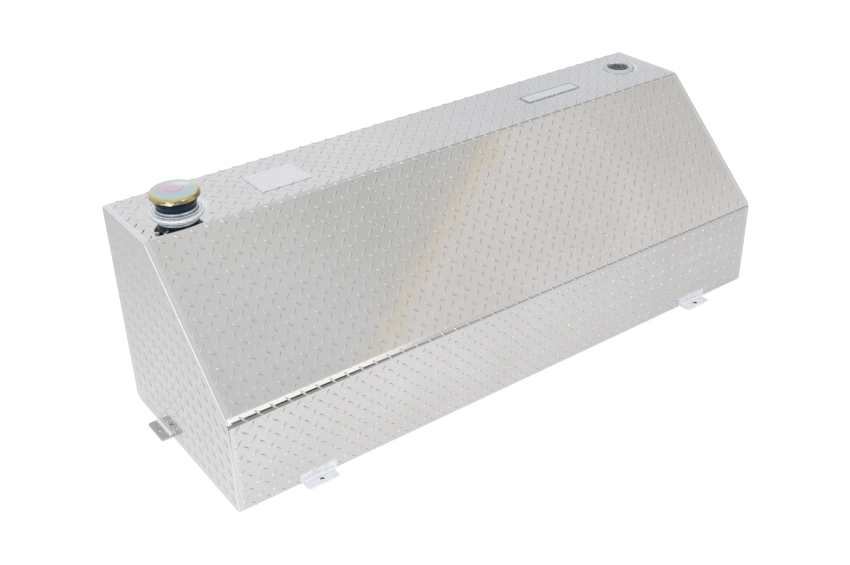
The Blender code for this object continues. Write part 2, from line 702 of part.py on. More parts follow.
def make_vent_spring(material):
    """A coil between the cup's floor and the valve's head."""
    steps = int(SPRING_TURNS * SPRING_FACETS)
    climb = SPRING_LENGTH - 2 * SPRING_WIRE
    mesh_data = bmesh.new()
    rings = []
    for step in range(steps + 1):
        share = step / steps
        angle = math.tau * SPRING_TURNS * share
        outward = Vector((math.cos(angle), math.sin(angle), 0))
        centre = outward * SPRING_RADIUS + Vector((0, 0, SPRING_BOTTOM + SPRING_WIRE + climb * share))
        ring = []
        for side in range(WIRE_FACETS):
            tilt = math.tau * side / WIRE_FACETS
            offset = outward * math.cos(tilt) + Vector((0, 0, math.sin(tilt)))
            ring.append(mesh_data.verts.new(centre + offset * SPRING_WIRE))
        rings.append(ring)
    for ring, after in zip(rings, rings[1:]):
        for side in range(WIRE_FACETS):
            following = (side + 1) % WIRE_FACETS
            mesh_data.faces.new((ring[side], ring[following], after[following], after[side]))
    mesh_data.faces.new(rings[0])
    mesh_data.faces.new(rings[-1])
    return make_object("vent_spring", mesh_data, material, FILLER_PLACE)


def make_port_bung(material):
    """The pump port: a collared bung let into the top sheet, with a chamfered bore."""
    profile = [
        (PORT_BORE, -PORT_DEPTH),
        (PORT_SPIGOT_RADIUS, -PORT_DEPTH),
        (PORT_SPIGOT_RADIUS, SEAT_GAP),
        (PORT_COLLAR_RADIUS, SEAT_GAP),
        (PORT_COLLAR_RADIUS, PORT_COLLAR_HEIGHT - EDGE_BREAK),
        (PORT_COLLAR_RADIUS - EDGE_BREAK, PORT_COLLAR_HEIGHT),
        (PORT_BORE + PORT_CHAMFER, PORT_COLLAR_HEIGHT),
        (PORT_BORE, PORT_COLLAR_HEIGHT - PORT_CHAMFER),
    ]
    return make_object("pump_port_bung", spun(profile, ROUND_FACETS), material, PORT_PLACE)


def make_tab(name, place, turn, material):
    """A flat mounting tab with one bolt hole. Its back edge meets the tank at the place."""
    half = TAB_LENGTH / 2
    corners = [
        Vector((half, -SEAT_GAP)),
        Vector((-half, -SEAT_GAP)),
        Vector((-half, -TAB_REACH)),
        Vector((half, -TAB_REACH)),
    ]
    radii = [EDGE_BREAK, EDGE_BREAK, TAB_CORNER, TAB_CORNER]
    outline = rounded_outline(corners, radii, [1, 1, TAB_CORNER_FACETS, TAB_CORNER_FACETS])
    mesh_data = bmesh.new()
    along_z(mesh_data, outline, 0, TAB_THICKNESS)
    tab = make_object(name, mesh_data, material, place, turn)
    hole = bmesh.new()
    ring = arc((0, -TAB_HOLE_FROM_FACE), TAB_HOLE_RADIUS, 0, math.tau, SMALL_FACETS)[:-1]
    along_z(hole, ring, -CUT_MARGIN, TAB_THICKNESS + CUT_MARGIN)
    cutter = make_object(name + "_cutter", hole, None, place, turn)
    combine(tab, cutter, "DIFFERENCE")
    return tab


def make_tab_weld(name, place, turn, material):
    """The bead in the corner above a tab."""
    half = TAB_LENGTH / 2 - TAB_BEAD_SHORT
    section = [(-r, z) for r, z in fillet_profile(SEAT_GAP, TAB_THICKNESS + SEAT_GAP, TAB_BEAD)]
    mesh_data = bmesh.new()
    along_x(mesh_data, section, -half, half)
    return make_object(name, mesh_data, material, place, turn)


def make_tabs(tab_material, weld_material):
    """Two tabs along the front and one on each end."""
    end_y = FRONT_Y + END_TAB_FROM_FRONT
    stations = {
        "front_left_tab": ((LEFT_X + FRONT_TAB_FROM_END, FRONT_Y, 0), 0),
        "front_right_tab": ((RIGHT_X - FRONT_TAB_FROM_END, FRONT_Y, 0), 0),
        "left_end_tab": ((LEFT_X, end_y, 0), -math.pi / 2),
        "right_end_tab": ((RIGHT_X, end_y, 0), math.pi / 2),
    }
    for name, (place, turn) in stations.items():
        make_tab(name, place, turn, tab_material)
        make_tab_weld(name + "_weld", place, turn, weld_material)


def make_flat_label(name, place, length, width, thickness, corner, material):
    """A thin rectangle that lies on the top sheet."""
    corners = [
        Vector((-length / 2, -width / 2)),
        Vector((length / 2, -width / 2)),
        Vector((length / 2, width / 2)),
        Vector((-length / 2, width / 2)),
    ]
    mesh_data = bmesh.new()
    along_z(mesh_data, rounded_outline(corners, [corner] * 4, [PRINT_CORNER_FACETS] * 4), SEAT_GAP, SEAT_GAP + thickness)
    return make_object(name, mesh_data, material, place)


def main():
    clear_scene()
    plate = make_material("tread_plate", (0.80, 0.81, 0.82), 1.0, 0.28)
    weld = make_material("weld_bead", (0.72, 0.73, 0.75), 1.0, 0.40)
    tab = make_material("tab_aluminium", (0.80, 0.81, 0.82), 1.0, 0.38)
    ring = make_material("ring_aluminium", (0.74, 0.75, 0.77), 1.0, 0.30)
    zinc = make_material("zinc_steel", (0.70, 0.74, 0.72), 1.0, 0.30)
    gold = make_material("yellow_zinc", (0.80, 0.66, 0.36), 1.0, 0.22)
    black = make_material("black_nylon", (0.012, 0.013, 0.018), 0.0, 0.22)
    rubber = make_material("black_rubber", (0.02, 0.02, 0.02), 0.0, 0.6)
    steel = make_material("spring_steel", (0.55, 0.56, 0.58), 1.0, 0.35)
    label = make_material("white_label", (0.86, 0.86, 0.88), 0.0, 0.45)

    make_wrapper(plate)
    make_seam_weld(weld)
    for side, outer_x, inward in (("left", LEFT_X, 1), ("right", RIGHT_X, -1)):
        make_end_panel(side + "_end_panel", outer_x, inward, plate)
        make_end_weld(side + "_end_weld", outer_x, inward, weld)
    make_baffle("left_baffle", LEFT_X + BAFFLE_FROM_END, plate)
    make_baffle("right_baffle", RIGHT_X - BAFFLE_FROM_END, plate)

    make_filler_ring(ring)
    make_ring_weld("filler_weld", RING_FLANGE_RADIUS, RING_BEAD, FILLER_PLACE, weld)
    make_filler_neck(black)
    make_cap_shell(gold)
    make_cap_gasket(rubber)
    make_lock_plate(steel)
    make_vent_cup(steel)
    make_vent_valve(steel)
    make_vent_spring(steel)

    make_port_bung(zinc)
    make_ring_weld("port_weld", PORT_COLLAR_RADIUS, PORT_BEAD, PORT_PLACE, weld)
    make_tabs(tab, weld)

    plate_place = (RIGHT_X - PLATE_FROM_RIGHT, BACK_Y - PLATE_FROM_BACK, TOP_Z)
    plate_sizes = (PLATE_LENGTH, PLATE_WIDTH, PLATE_THICKNESS, PLATE_CORNER)
    make_flat_label("blank_plate", plate_place, *plate_sizes, label)
    label_place = (LEFT_X + LABEL_FROM_LEFT, BACK_Y - LABEL_FROM_BACK, TOP_Z)
    label_sizes = (LABEL_LENGTH, LABEL_WIDTH, LABEL_THICKNESS, PLATE_CORNER)
    make_flat_label("blank_label", label_place, *label_sizes, label)


main()
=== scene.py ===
"""Looks of the truck bed transfer tank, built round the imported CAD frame."""

import math

import bmesh
import bpy
import numpy as np
from mathutils import Matrix, Vector


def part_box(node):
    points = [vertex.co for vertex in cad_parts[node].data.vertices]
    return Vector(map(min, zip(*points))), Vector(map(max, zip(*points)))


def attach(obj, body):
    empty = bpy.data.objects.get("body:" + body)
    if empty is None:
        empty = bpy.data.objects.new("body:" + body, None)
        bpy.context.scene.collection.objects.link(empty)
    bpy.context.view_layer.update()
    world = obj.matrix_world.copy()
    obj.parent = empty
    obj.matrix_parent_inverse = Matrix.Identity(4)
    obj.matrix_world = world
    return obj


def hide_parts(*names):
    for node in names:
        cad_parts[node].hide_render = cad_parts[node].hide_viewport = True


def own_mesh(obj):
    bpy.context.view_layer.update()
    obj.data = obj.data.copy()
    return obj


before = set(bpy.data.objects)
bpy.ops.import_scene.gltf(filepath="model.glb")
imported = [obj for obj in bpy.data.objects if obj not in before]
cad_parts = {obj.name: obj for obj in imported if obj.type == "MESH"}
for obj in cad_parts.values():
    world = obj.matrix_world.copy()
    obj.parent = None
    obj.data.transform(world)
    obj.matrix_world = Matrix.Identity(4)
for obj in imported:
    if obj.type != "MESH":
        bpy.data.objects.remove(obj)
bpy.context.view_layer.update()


def middle_of(node):
    low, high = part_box(node)
    return (low + high) / 2


# Places read from the frame
SHEET_LOW, SHEET_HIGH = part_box("wrapper_sheet")
LEFT_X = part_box("left_end_weld")[0].x
RIGHT_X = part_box("right_end_weld")[1].x
FRONT_Y = SHEET_LOW.y
BACK_Y = SHEET_HIGH.y
BOTTOM_Z = SHEET_LOW.z
TOP_Z = SHEET_HIGH.z
FILLER = middle_of("filler_ring")
FILLER.z = TOP_Z
PORT = middle_of("pump_port_bung")
PORT.z = TOP_Z
PLATE = middle_of("blank_plate")
LABEL = middle_of("blank_label")
FRONT_TABS = ("front_left_tab", "front_right_tab")

# Tank body, as in the CAD source but for the lower bend, which is drawn 10 mm wider
FRONT_HEIGHT = 0.226
TOP_DEPTH = 0.216
SHEET = 0.0032
WIDE_BEND = 0.022
LOWER_BEND = 0.032
TIGHT_BEND = 0.006
SEAT_GAP = 0.0003
SEAM_FROM_FRONT = 0.130
FILLER_OPENING = 0.0448
PORT_OPENING = 0.0368

# Raised tread, and where it is left bare
LUG_LENGTH = 0.025
LUG_WIDTH = 0.0052
LUG_HEIGHT = 0.0014
LUG_SINK = 0.0002
LUG_PITCH_X = 0.035
LUG_PITCH_V = 0.036
LUG_FIRST_X = 0.019
LUG_FIRST_V = 0.026
LUG_END_MARGIN = 0.0185
LUG_EDGE_MARGIN = 0.007
FILLER_BARE = 0.061
PORT_BARE = 0.047
TAB_BARE_HALF = 0.043
TAB_BARE_HEIGHT = 0.030
SEAM_BARE_HALF = 0.014
FOOT_BARE = 0.010
WORN_CORNER = 0.058
DIAGONAL = math.sqrt(0.5)

# Welds round the filler and the port, and the mounting tabs
FILLER_BEAD_RADIUS = 0.052
FILLER_BEAD_LEG = 0.005
PORT_BEAD_RADIUS = 0.039
PORT_BEAD_LEG = 0.004
TAB_HALF = 0.038
TAB_REACH = 0.0265
TAB_THICK = 0.005
TAB_HOLE = 0.0145
TAB_HOLE_RADIUS = 0.0045

# Cap and vent spring
EAR_AZIMUTH = math.radians(235)
VENT_WIRE = 0.0004
VENT_TURNS = 3.5

# Printed pieces
PLATE_SIZE = (0.173, 0.043)
LABEL_SIZE = (0.124, 0.095)
FILM_GAP = 0.0006

# Camera fitted to the corners of the tank, and the point the lamps aim at
CAMERA_PLACE = (-1.4433, -1.8883, 1.5730)
CAMERA_FORWARD = (0.49527, 0.70255, -0.51102)
CAMERA_RIGHT = (0.80884, -0.58755, -0.02385)
LENS = 47.61
SENSOR = 36
LIT_POINT = (0, 0, 0.2)


# Mesh helpers

def new_mesh(name, verts, faces):
    mesh = bpy.data.meshes.new(name)
    mesh.from_pydata([tuple(v) for v in verts], [], [tuple(f) for f in faces])
    return mesh


def add_object(name, data):
    made = bpy.data.objects.new(name, data)
    bpy.context.scene.collection.objects.link(made)
    return made


def smooth(mesh, sharp=35):
    mesh.shade_smooth()
    mesh.set_sharp_from_angle(angle=math.radians(sharp))


def finish_piece(name, mesh, material, body, replaced=(), sharp=35):
    helper = bmesh.new()
    helper.from_mesh(mesh)
    bmesh.ops.recalc_face_normals(helper, faces=helper.faces)
    helper.to_mesh(mesh)
    helper.free()
    smooth(mesh, sharp)
    mesh.materials.append(material)
    piece = add_object(name, mesh)
    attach(piece, body)
    if replaced:
        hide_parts(*replaced)
    return piece


def make_piece(name, verts, faces, material, body, replaced=(), sharp=35):
    mesh = new_mesh(name, verts, faces)
    mesh.validate()
    mesh.update()
    return finish_piece(name, mesh, material, body, replaced, sharp)


def even_normals(piece):
    """Keeps large flat faces flat in their shading."""
    modifier = piece.modifiers.new("even_normals", "WEIGHTED_NORMAL")
    modifier.keep_sharp = True
    modifier.mode = "FACE_AREA"
    modifier.weight = 100


def quads(rows, joined=False):
    """Faces between rows of corners, each row closed on itself. Joined: the last row meets the first."""
    faces = []
    for row, after in zip(rows, rows[1:] + rows[:1] if joined else rows[1:]):
        for index in range(len(row)):
            following = (index + 1) % len(row)
            faces.append((row[index], row[following], after[following], after[index]))
    return faces


def loft(rings, joined=False):
    """Points and faces of a skin over rings of points. It has flat ends where the rings aren't joined."""
    verts = np.vstack(rings)
    rows = np.arange(len(verts)).reshape(len(rings), -1).tolist()
    faces = quads(rows, joined)
    if not joined:
        faces += [rows[0][::-1], rows[-1]]
    return verts, faces


def arc(centre, radius, start, sweep, steps):
    angles = start + sweep * np.arange(steps + 1) / steps
    return np.column_stack((centre[0] + radius * np.cos(angles), centre[1] + radius * np.sin(angles)))


def soften(points, radius, steps=3):
    """Rounds the corners of a closed outline. The radius shrinks where a side is short."""
    points = [np.array(p, float) for p in points]
    made = []
    for index, point in enumerate(points):
        ends = []
        for neighbour in (points[index - 1], points[(index + 1) % len(points)]):
            side = neighbour - point
            length = np.linalg.norm(side)
            ends.append(point + side / length * min(radius, 0.45 * length))
        for step in range(steps + 1):
            t = step / steps
            made.append((1 - t) ** 2 * ends[0] + 2 * t * (1 - t) * point + t * t * ends[1])
    return made


def spun(profile, segments, centre, shape=None):
    """Turns a closed (radius, height) profile about a vertical axis. The shape may move points by angle."""
    verts = []
    rows = []
    for radius, height in profile:
        if radius < 1e-7:
            rows.append([len(verts)] * segments)
            verts.append((centre.x, centre.y, centre.z + height))
            continue
        rows.append(list(range(len(verts), len(verts) + segments)))
        for angle in np.arange(segments) * math.tau / segments:
            r, z = shape(radius, height, angle) if shape else (radius, height)
            verts.append((centre.x + r * math.cos(angle), centre.y + r * math.sin(angle), centre.z + z))
    faces = []
    for face in quads(rows, True):
        face = [v for place, v in enumerate(face) if v not in face[:place]]
        if len(face) > 2:
            faces.append(face)
    return verts, faces


def build_turned(name, profile, centre, material, body, replaced, segments=160, shape=None, sharp=35):
    verts, faces = spun(profile, segments, centre, shape)
    even_normals(make_piece(name, verts, faces, material, body, [replaced], sharp))


def cut_holes(piece, holes, low, high):
    """Cuts round holes (centre, radius) straight through along Z."""
    segments = 96
    for centre, radius in holes:
        circle = arc(centre, radius, 0, math.tau, segments)[:-1]
        rings = [[(x, y, z) for x, y in circle] for z in (low, high)]
        cutter = add_object("hole", new_mesh("hole", *loft(rings)))
        modifier = piece.modifiers.new("hole", "BOOLEAN")
        modifier.operation = "DIFFERENCE"
        modifier.solver = "EXACT"
        modifier.object = cutter
        evaluated = piece.evaluated_get(bpy.context.evaluated_depsgraph_get())
        cut = bpy.data.meshes.new_from_object(evaluated)
        piece.modifiers.clear()
        piece.data = cut
        bpy.data.objects.remove(cutter)


# The end profile of the tank

CORNERS = np.array((
    (FRONT_Y, BOTTOM_Z),
    (BACK_Y, BOTTOM_Z),
    (BACK_Y, TOP_Z),
    (BACK_Y - TOP_DEPTH, TOP_Z),
    (FRONT_Y, BOTTOM_Z + FRONT_HEIGHT),
))
BENDS = [TIGHT_BEND, WIDE_BEND, TIGHT_BEND, WIDE_BEND, LOWER_BEND]


def turns(corners):
    """Each corner of a closed outline, with the directions into it and out of it."""
    for index, corner in enumerate(corners):
        before = corner - corners[index - 1]
        after = corners[(index + 1) % len(corners)] - corner
        yield corner, before / np.linalg.norm(before), after / np.linalg.norm(after)


def left_of(direction):
    return np.array((-direction[1], direction[0]))


def rounded(corners, radii, steps):
    """Points and outward normals of an anticlockwise outline with an arc in each corner."""
    points = []
    normals = []
    for (corner, before, after), radius in zip(turns(corners), radii):
        inward = left_of(before)
        sweep = math.atan2(before[0] * after[1] - before[1] * after[0], before @ after)
        centre = corner - before * radius * math.tan(sweep / 2) + inward * radius
        bend = arc(centre, radius, math.atan2(-inward[1], -inward[0]), sweep, steps)
        points.append(bend)
        normals.append((bend - centre) / radius)
    return np.vstack(points), np.vstack(normals)


def inset_corners(inset):
    moved = []
    for corner, before, after in turns(CORNERS):
        inward_before = left_of(before)
        inward_after = left_of(after)
        moved.append(corner + (inward_before + inward_after) * inset / (1 + inward_before @ inward_after))
    return moved


def tank_outline(inset, steps=20):
    """Points and outward normals of the end profile, moved inwards by the inset."""
    return rounded(inset_corners(inset), [bend - inset for bend in BENDS], steps)


def closed(points):
    """The outline with its first point repeated at its end, and how far along it each point is."""
    loop = np.vstack((points, points[:1]))
    sides = np.linalg.norm(np.diff(loop, axis=0), axis=1)
    return loop, np.concatenate(([0], np.cumsum(sides)))


OUTLINE, OUTLINE_NORMALS = tank_outline(0)
LOOP, LOOP_LENGTHS = closed(OUTLINE)
LOOP_NORMALS = np.vstack((OUTLINE_NORMALS, OUTLINE_NORMALS[:1]))
AROUND = LOOP_LENGTHS[-1]
SEAM = AROUND + TIGHT_BEND - SEAM_FROM_FRONT


def on_sheet(v, height):
    """Point (y, z) that lies v up the folded sheet from its front foot, at a height over it."""
    along = (AROUND + TIGHT_BEND - v) % AROUND
    y, z = (np.interp(along, LOOP_LENGTHS, LOOP[:, axis]) for axis in (0, 1))
    out_y, out_z = (np.interp(along, LOOP_LENGTHS, LOOP_NORMALS[:, axis]) for axis in (0, 1))
    size = np.hypot(out_y, out_z)
    return y + out_y / size * height, z + out_z / size * height


def bend_middle(corner):
    """How far up the sheet the middle of a bend is."""
    steps = len(OUTLINE) // len(CORNERS)
    middle = LOOP_LENGTHS[corner * steps + steps // 2]
    return (AROUND + TIGHT_BEND - middle) % AROUND


# Material helpers

class Nodes:
    """A short way to write a node tree."""

    def __init__(self, tree):
        self.tree = tree

    def add(self, kind, inputs=None, **settings):
        made = self.tree.nodes.new("ShaderNode" + kind)
        for key, value in settings.items():
            setattr(made, key, value)
        for key, value in (inputs or {}).items():
            self.put(made.inputs[key], value)
        return made

    def put(self, socket, value):
        if isinstance(value, bpy.types.NodeSocket):
            self.tree.links.new(value, socket)
        elif hasattr(value, "__len__") and socket.type == "RGBA" and len(value) == 3:
            socket.default_value = (*value, 1)
        else:
            socket.default_value = value

    def math(self, operation, first, *others):
        """One value, or several in a row, through an operation."""
        for other in others or (0.0,):
            first = self.add("Math", {0: first, 1: other}, operation=operation).outputs[0]
        return first

    def plus(self, *values):
        return self.math("ADD", *values)

    def times(self, *values):
        return self.math("MULTIPLY", *values)

    def most(self, *values):
        return self.math("MAXIMUM", *values)

    def away(self, value, middle):
        """How far a value is from a middle one, either way."""
        return self.math("ABSOLUTE", self.math("SUBTRACT", value, middle))

    def vector(self, operation, first, second=(0, 0, 0)):
        made = self.add("VectorMath", {0: first, 1: second}, operation=operation)
        return made.outputs["Value" if operation in ("DOT_PRODUCT", "DISTANCE") else "Vector"]

    def xyz(self, vector):
        return self.add("SeparateXYZ", {0: vector}).outputs[:]

    def place(self, scale=(1, 1, 1)):
        """Object space, stretched."""
        source = self.add("TexCoord").outputs["Object"]
        return self.add("Mapping", {"Vector": source, "Scale": scale}).outputs[0]

    def from_axis(self, x, y):
        """Distance from a vertical axis, in object space."""
        flat = self.vector("MULTIPLY", self.place(), (1, 1, 0))
        return self.vector("DISTANCE", flat, (x, y, 0))

    def noise(self, place, scale, detail=3.0, roughness=0.55, distortion=0.0):
        settings = {"Scale": scale, "Detail": detail, "Roughness": roughness, "Distortion": distortion}
        return self.add("TexNoise", {"Vector": place, **settings}).outputs["Fac"]

    def span(self, value, low, high, to_low=0.0, to_high=1.0, smooth=True):
        kind = "SMOOTHSTEP" if smooth else "LINEAR"
        inputs = {"Value": value, "From Min": low, "From Max": high, "To Min": to_low, "To Max": to_high}
        return self.add("MapRange", inputs, interpolation_type=kind).outputs[0]

    def fall(self, value, low, high):
        """1 up to the low value, fading to 0 at the high one."""
        return self.span(value, low, high, 1.0, 0.0)

    def window(self, value, low, high, fade):
        """1 between two values, fading out beyond them."""
        return self.times(self.span(value, low - fade, low), self.fall(value, high, high + fade))

    def spread(self, noise, low, high):
        """Lays a noise, most of which is between 0.3 and 0.7, over a range."""
        return self.span(noise, 0.3, 0.7, low, high)

    def dim(self, mask, full):
        """A factor of 1 where the mask is 0, and of the full value where it is 1."""
        return self.span(mask, 0, 1, 1.0, full, False)

    def mix(self, share, first, second):
        return self.add("Mix", {0: share, 6: first, 7: second}, data_type="RGBA").outputs[2]

    def ramp(self, value, stops):
        made = self.add("ValToRGB", {0: value})
        bar = made.color_ramp
        while len(bar.elements) < len(stops):
            bar.elements.new(0.5)
        for element, (position, colour) in zip(bar.elements, stops):
            element.position = position
            element.color = (*colour, 1)
        return made.outputs[0]

    def bump(self, height, distance, strength=1.0, normal=None):
        inputs = {"Height": height, "Distance": distance, "Strength": strength}
        if normal:
            inputs["Normal"] = normal
        return self.add("Bump", inputs).outputs[0]


class Surface(Nodes):
    """A material of one principled shader."""

    def __init__(self, name, metallic):
        self.material = bpy.data.materials.new(name)
        self.material.use_nodes = True
        super().__init__(self.material.node_tree)
        self.inputs = self.tree.nodes["Principled BSDF"].inputs
        self.put(self.inputs["Metallic"], metallic)

    def finish(self, colour, roughness, normal):
        self.put(self.inputs["Base Color"], colour)
        self.put(self.inputs["Roughness"], roughness)
        self.put(self.inputs["Normal"], normal)
        return self.material


# Materials

def tread_material(name, worked):
    """Bright mill-finish aluminium plate, with soft smudges and fine rolling marks."""
    nodes = Surface(name, 1.0)
    place = nodes.place()
    clouds = nodes.noise(place, 4.5, 4.0, 0.6, 0.4)
    marks = nodes.noise(nodes.place((2, 260, 260)), 1.0, 3.0, 0.6)
    speck = nodes.noise(place, 900, 2.0)
    colour = nodes.mix(nodes.spread(clouds, 0.0, 1.0), (0.660, 0.656, 0.650), (0.695, 0.694, 0.696))
    rough = nodes.plus(nodes.spread(clouds, 0.055, 0.085), nodes.spread(marks, -0.01, 0.02))
    rough = nodes.plus(rough, nodes.spread(speck, -0.01, 0.02))
    height = nodes.plus(nodes.times(marks, 0.25), nodes.times(speck, 0.12))
    if worked:
        colour, rough, height = add_weld_traces(nodes, place, colour, rough, height)
    waves = nodes.bump(nodes.noise(place, 5.0, 2.0), 0.0008)
    return nodes.finish(colour, rough, nodes.bump(height, 0.00005, 0.5, waves))


def add_weld_traces(nodes, place, colour, rough, height):
    """What welding leaves on the folded sheet."""
    x, y, z = nodes.xyz(place)
    # Polished round the filler and the port, where the tread is ground off
    for axis, radius in ((FILLER, FILLER_BARE), (PORT, PORT_BARE)):
        near = nodes.fall(nodes.from_axis(axis.x, axis.y), radius - 0.004, radius + 0.003)
        rough = nodes.times(rough, nodes.dim(near, 0.35))
    # Frosted by the heat and the wheel: beside the ring and the port, and over the front tabs
    wander = nodes.spread(nodes.noise(place, 55, 4.0, 0.65), -0.006, 0.006)
    on_top = nodes.span(z, TOP_Z - 0.01, TOP_Z - 0.002)
    patches = []
    for axis, shift_x, shift_y, radius in ((FILLER, 0.011, 0.014, 0.056), (PORT, 0.002, 0.0, 0.047)):
        away = nodes.plus(nodes.from_axis(axis.x + shift_x, axis.y + shift_y), wander)
        patches.append(nodes.times(nodes.fall(away, radius - 0.008, radius + 0.008), on_top))
    small = nodes.times(wander, 0.4)
    above = nodes.fall(nodes.plus(z, small), 0.022, 0.032)
    ahead = nodes.fall(y, FRONT_Y + 0.002, FRONT_Y + 0.008)
    for tab in FRONT_TABS:
        beside = nodes.fall(nodes.plus(nodes.away(x, middle_of(tab).x), small), 0.040, 0.051)
        patches.append(nodes.times(beside, above, ahead))
    frosted = nodes.most(*patches)
    colour = nodes.mix(nodes.times(frosted, 0.85), colour, (0.86, 0.88, 0.92))
    rough = nodes.plus(rough, nodes.times(frosted, 0.24))
    nodes.put(nodes.inputs["Metallic"], nodes.dim(frosted, 0.45))
    # Ground bright in a band along both ends
    half = (RIGHT_X - LEFT_X) / 2
    wobble = nodes.spread(nodes.noise(place, 30), -0.002, 0.002)
    out = nodes.plus(nodes.away(x, (LEFT_X + RIGHT_X) / 2), wobble)
    ground = nodes.span(out, half - 0.0145, half - 0.011)
    lines = nodes.noise(nodes.place((1500, 60, 60)), 1.0, 2.0)
    colour = nodes.mix(nodes.times(ground, 0.5), colour, (0.80, 0.80, 0.81))
    rough = nodes.plus(rough, nodes.times(ground, nodes.spread(lines, 0.04, 0.12)))
    height = nodes.plus(height, nodes.times(ground, lines))
    return colour, rough, height


def lug_material():
    """The raised marks: the same metal, rubbed a little brighter on top."""
    nodes = Surface("tread_lugs", 1.0)
    place = nodes.place()
    colour = nodes.mix(nodes.noise(place, 6.0, 4.0), (0.64, 0.64, 0.64), (0.74, 0.74, 0.74))
    fine = nodes.noise(place, 700, 2.0)
    return nodes.finish(colour, nodes.spread(fine, 0.12, 0.22), nodes.bump(fine, 0.00006, 0.5))


def mottled_material(name, metallic, dark, light, low, high, bump, strength=0.5, patch=75, grain=900):
    """One substance with mottled colour, uneven gloss and a fine grain."""
    nodes = Surface(name, metallic)
    place = nodes.place()
    patches = nodes.noise(place, patch, 4.0)
    fine = nodes.noise(place, grain, 3.0)
    colour = nodes.mix(patches, dark, light)
    return nodes.finish(colour, nodes.spread(patches, low, high), nodes.bump(fine, bump, strength))


def weld_material(name, metallic, dark, light, low, high):
    """Pale frosted bead metal."""
    return mottled_material(name, metallic, dark, light, low, high, 0.0001, 0.6, 60, 1400)


def tab_material(name, metallic, dark, light, low, high, holes, hole_shade):
    """Sheared flat bar with a fine grain along it and slight scuffs, with painted shade on the walls of its
    bolt holes.
    """
    nodes = Surface(name, metallic)
    scuffs = nodes.noise(nodes.place(), 90, 5.0, 0.7)
    lines = nodes.noise(nodes.place((30, 900, 900)), 1.0, 2.0)
    colour = nodes.mix(scuffs, dark, light)
    # Painted shade: the wall inside each bolt hole is coloured dark, as the shade that falls in the hole.
    for x, y in holes:
        inside = nodes.fall(nodes.from_axis(x, y), TAB_HOLE_RADIUS + 0.0002, TAB_HOLE_RADIUS + 0.0004)
        colour = nodes.mix(inside, colour, hole_shade)
    return nodes.finish(colour, nodes.spread(scuffs, low, high), nodes.bump(lines, 0.00005, 0.5))


def turned_material(name, metallic, light, dark, low, high, axis, groove=None):
    """Turned metal with fine rings round an axis, and painted shade in a groove where one is given."""
    nodes = Surface(name, metallic)
    ring_scale = 2600
    radius = nodes.from_axis(axis.x, axis.y)
    z = nodes.xyz(nodes.place())[2]
    rings = nodes.add("CombineXYZ", {0: nodes.times(radius, ring_scale), 1: nodes.times(z, ring_scale)})
    patches = nodes.noise(nodes.place(), 70, 3.0)
    colour = nodes.mix(patches, dark, light)
    # Painted shade: the groove is coloured dark grey, as the shade that falls in it.
    if groove:
        low_z, high_z, outer = groove
        fade = 0.0003
        inside = nodes.times(nodes.window(z, low_z, high_z, fade), nodes.fall(radius, outer, outer + fade))
        colour = nodes.mix(inside, colour, (0.20, 0.24, 0.28))
    grooves = nodes.noise(rings.outputs[0], 1.0, 2.0)
    return nodes.finish(colour, nodes.spread(patches, low, high), nodes.bump(grooves, 0.00005, 0.6))


def gold_material():
    """Yellow passivated zinc: colours drift as the film's thickness does."""
    nodes = Surface("yellow_zinc", 1.0)
    radius = nodes.from_axis(FILLER.x, FILLER.y)
    place = nodes.place()
    z = nodes.xyz(place)[2]
    drift = nodes.spread(nodes.noise(place, 22, 3.0, 0.5, 0.6), -0.003, 0.003)
    off = nodes.vector("SUBTRACT", place, tuple(FILLER))
    flat = nodes.vector("MULTIPLY", off, (1, 1, 0))
    # The film is thinnest left of the middle, thickens fastest across the cap, and turns gold at the rim
    from_thin = nodes.vector("SUBTRACT", flat, (-0.015, 0.010, 0))
    along = nodes.times(nodes.vector("DOT_PRODUCT", from_thin, (0.81, -0.59, 0)), 0.62)
    across = nodes.vector("DOT_PRODUCT", from_thin, (0.59, 0.81, 0))
    stretched = nodes.add("CombineXYZ", {0: along, 1: across}).outputs[0]
    film = nodes.plus(nodes.vector("DISTANCE", stretched), drift)
    rim = nodes.plus(radius, nodes.times(drift, 0.5))
    share = nodes.most(nodes.math("DIVIDE", film, 0.070), nodes.span(rim, 0.026, 0.0545, smooth=False))
    film_colour = nodes.ramp(share, (
        (0.00, (0.66, 0.50, 0.59)), (0.22, (0.65, 0.51, 0.60)), (0.36, (0.58, 0.55, 0.62)),
        (0.47, (0.50, 0.59, 0.62)), (0.62, (0.51, 0.63, 0.57)), (0.76, (0.57, 0.62, 0.42)),
        (0.87, (0.64, 0.56, 0.29)), (0.98, (0.56, 0.42, 0.20)),
    ))
    skirt = nodes.mix(nodes.noise(place, 40, 3.0), (0.44, 0.30, 0.11), (0.70, 0.52, 0.27))
    colour = nodes.mix(nodes.fall(z, TOP_Z + 0.041, TOP_Z + 0.050), film_colour, skirt)
    # Painted highlight: the two ears are coloured pale cream, as where they catch the light
    ear_way = nodes.vector("DOT_PRODUCT", off, (math.cos(EAR_AZIMUTH), math.sin(EAR_AZIMUTH), 0))
    ear_highlight = nodes.span(nodes.math("DIVIDE", nodes.math("ABSOLUTE", ear_way), radius), 0.90, 0.97)
    ear_highlight = nodes.times(ear_highlight, nodes.fall(z, TOP_Z + 0.0430, TOP_Z + 0.0475))
    colour = nodes.mix(ear_highlight, colour, (1.0, 0.92, 0.68))
    fine = nodes.noise(place, 500, 3.0)
    return nodes.finish(colour, nodes.spread(fine, 0.14, 0.22), nodes.bump(fine, 0.00004, 0.5))


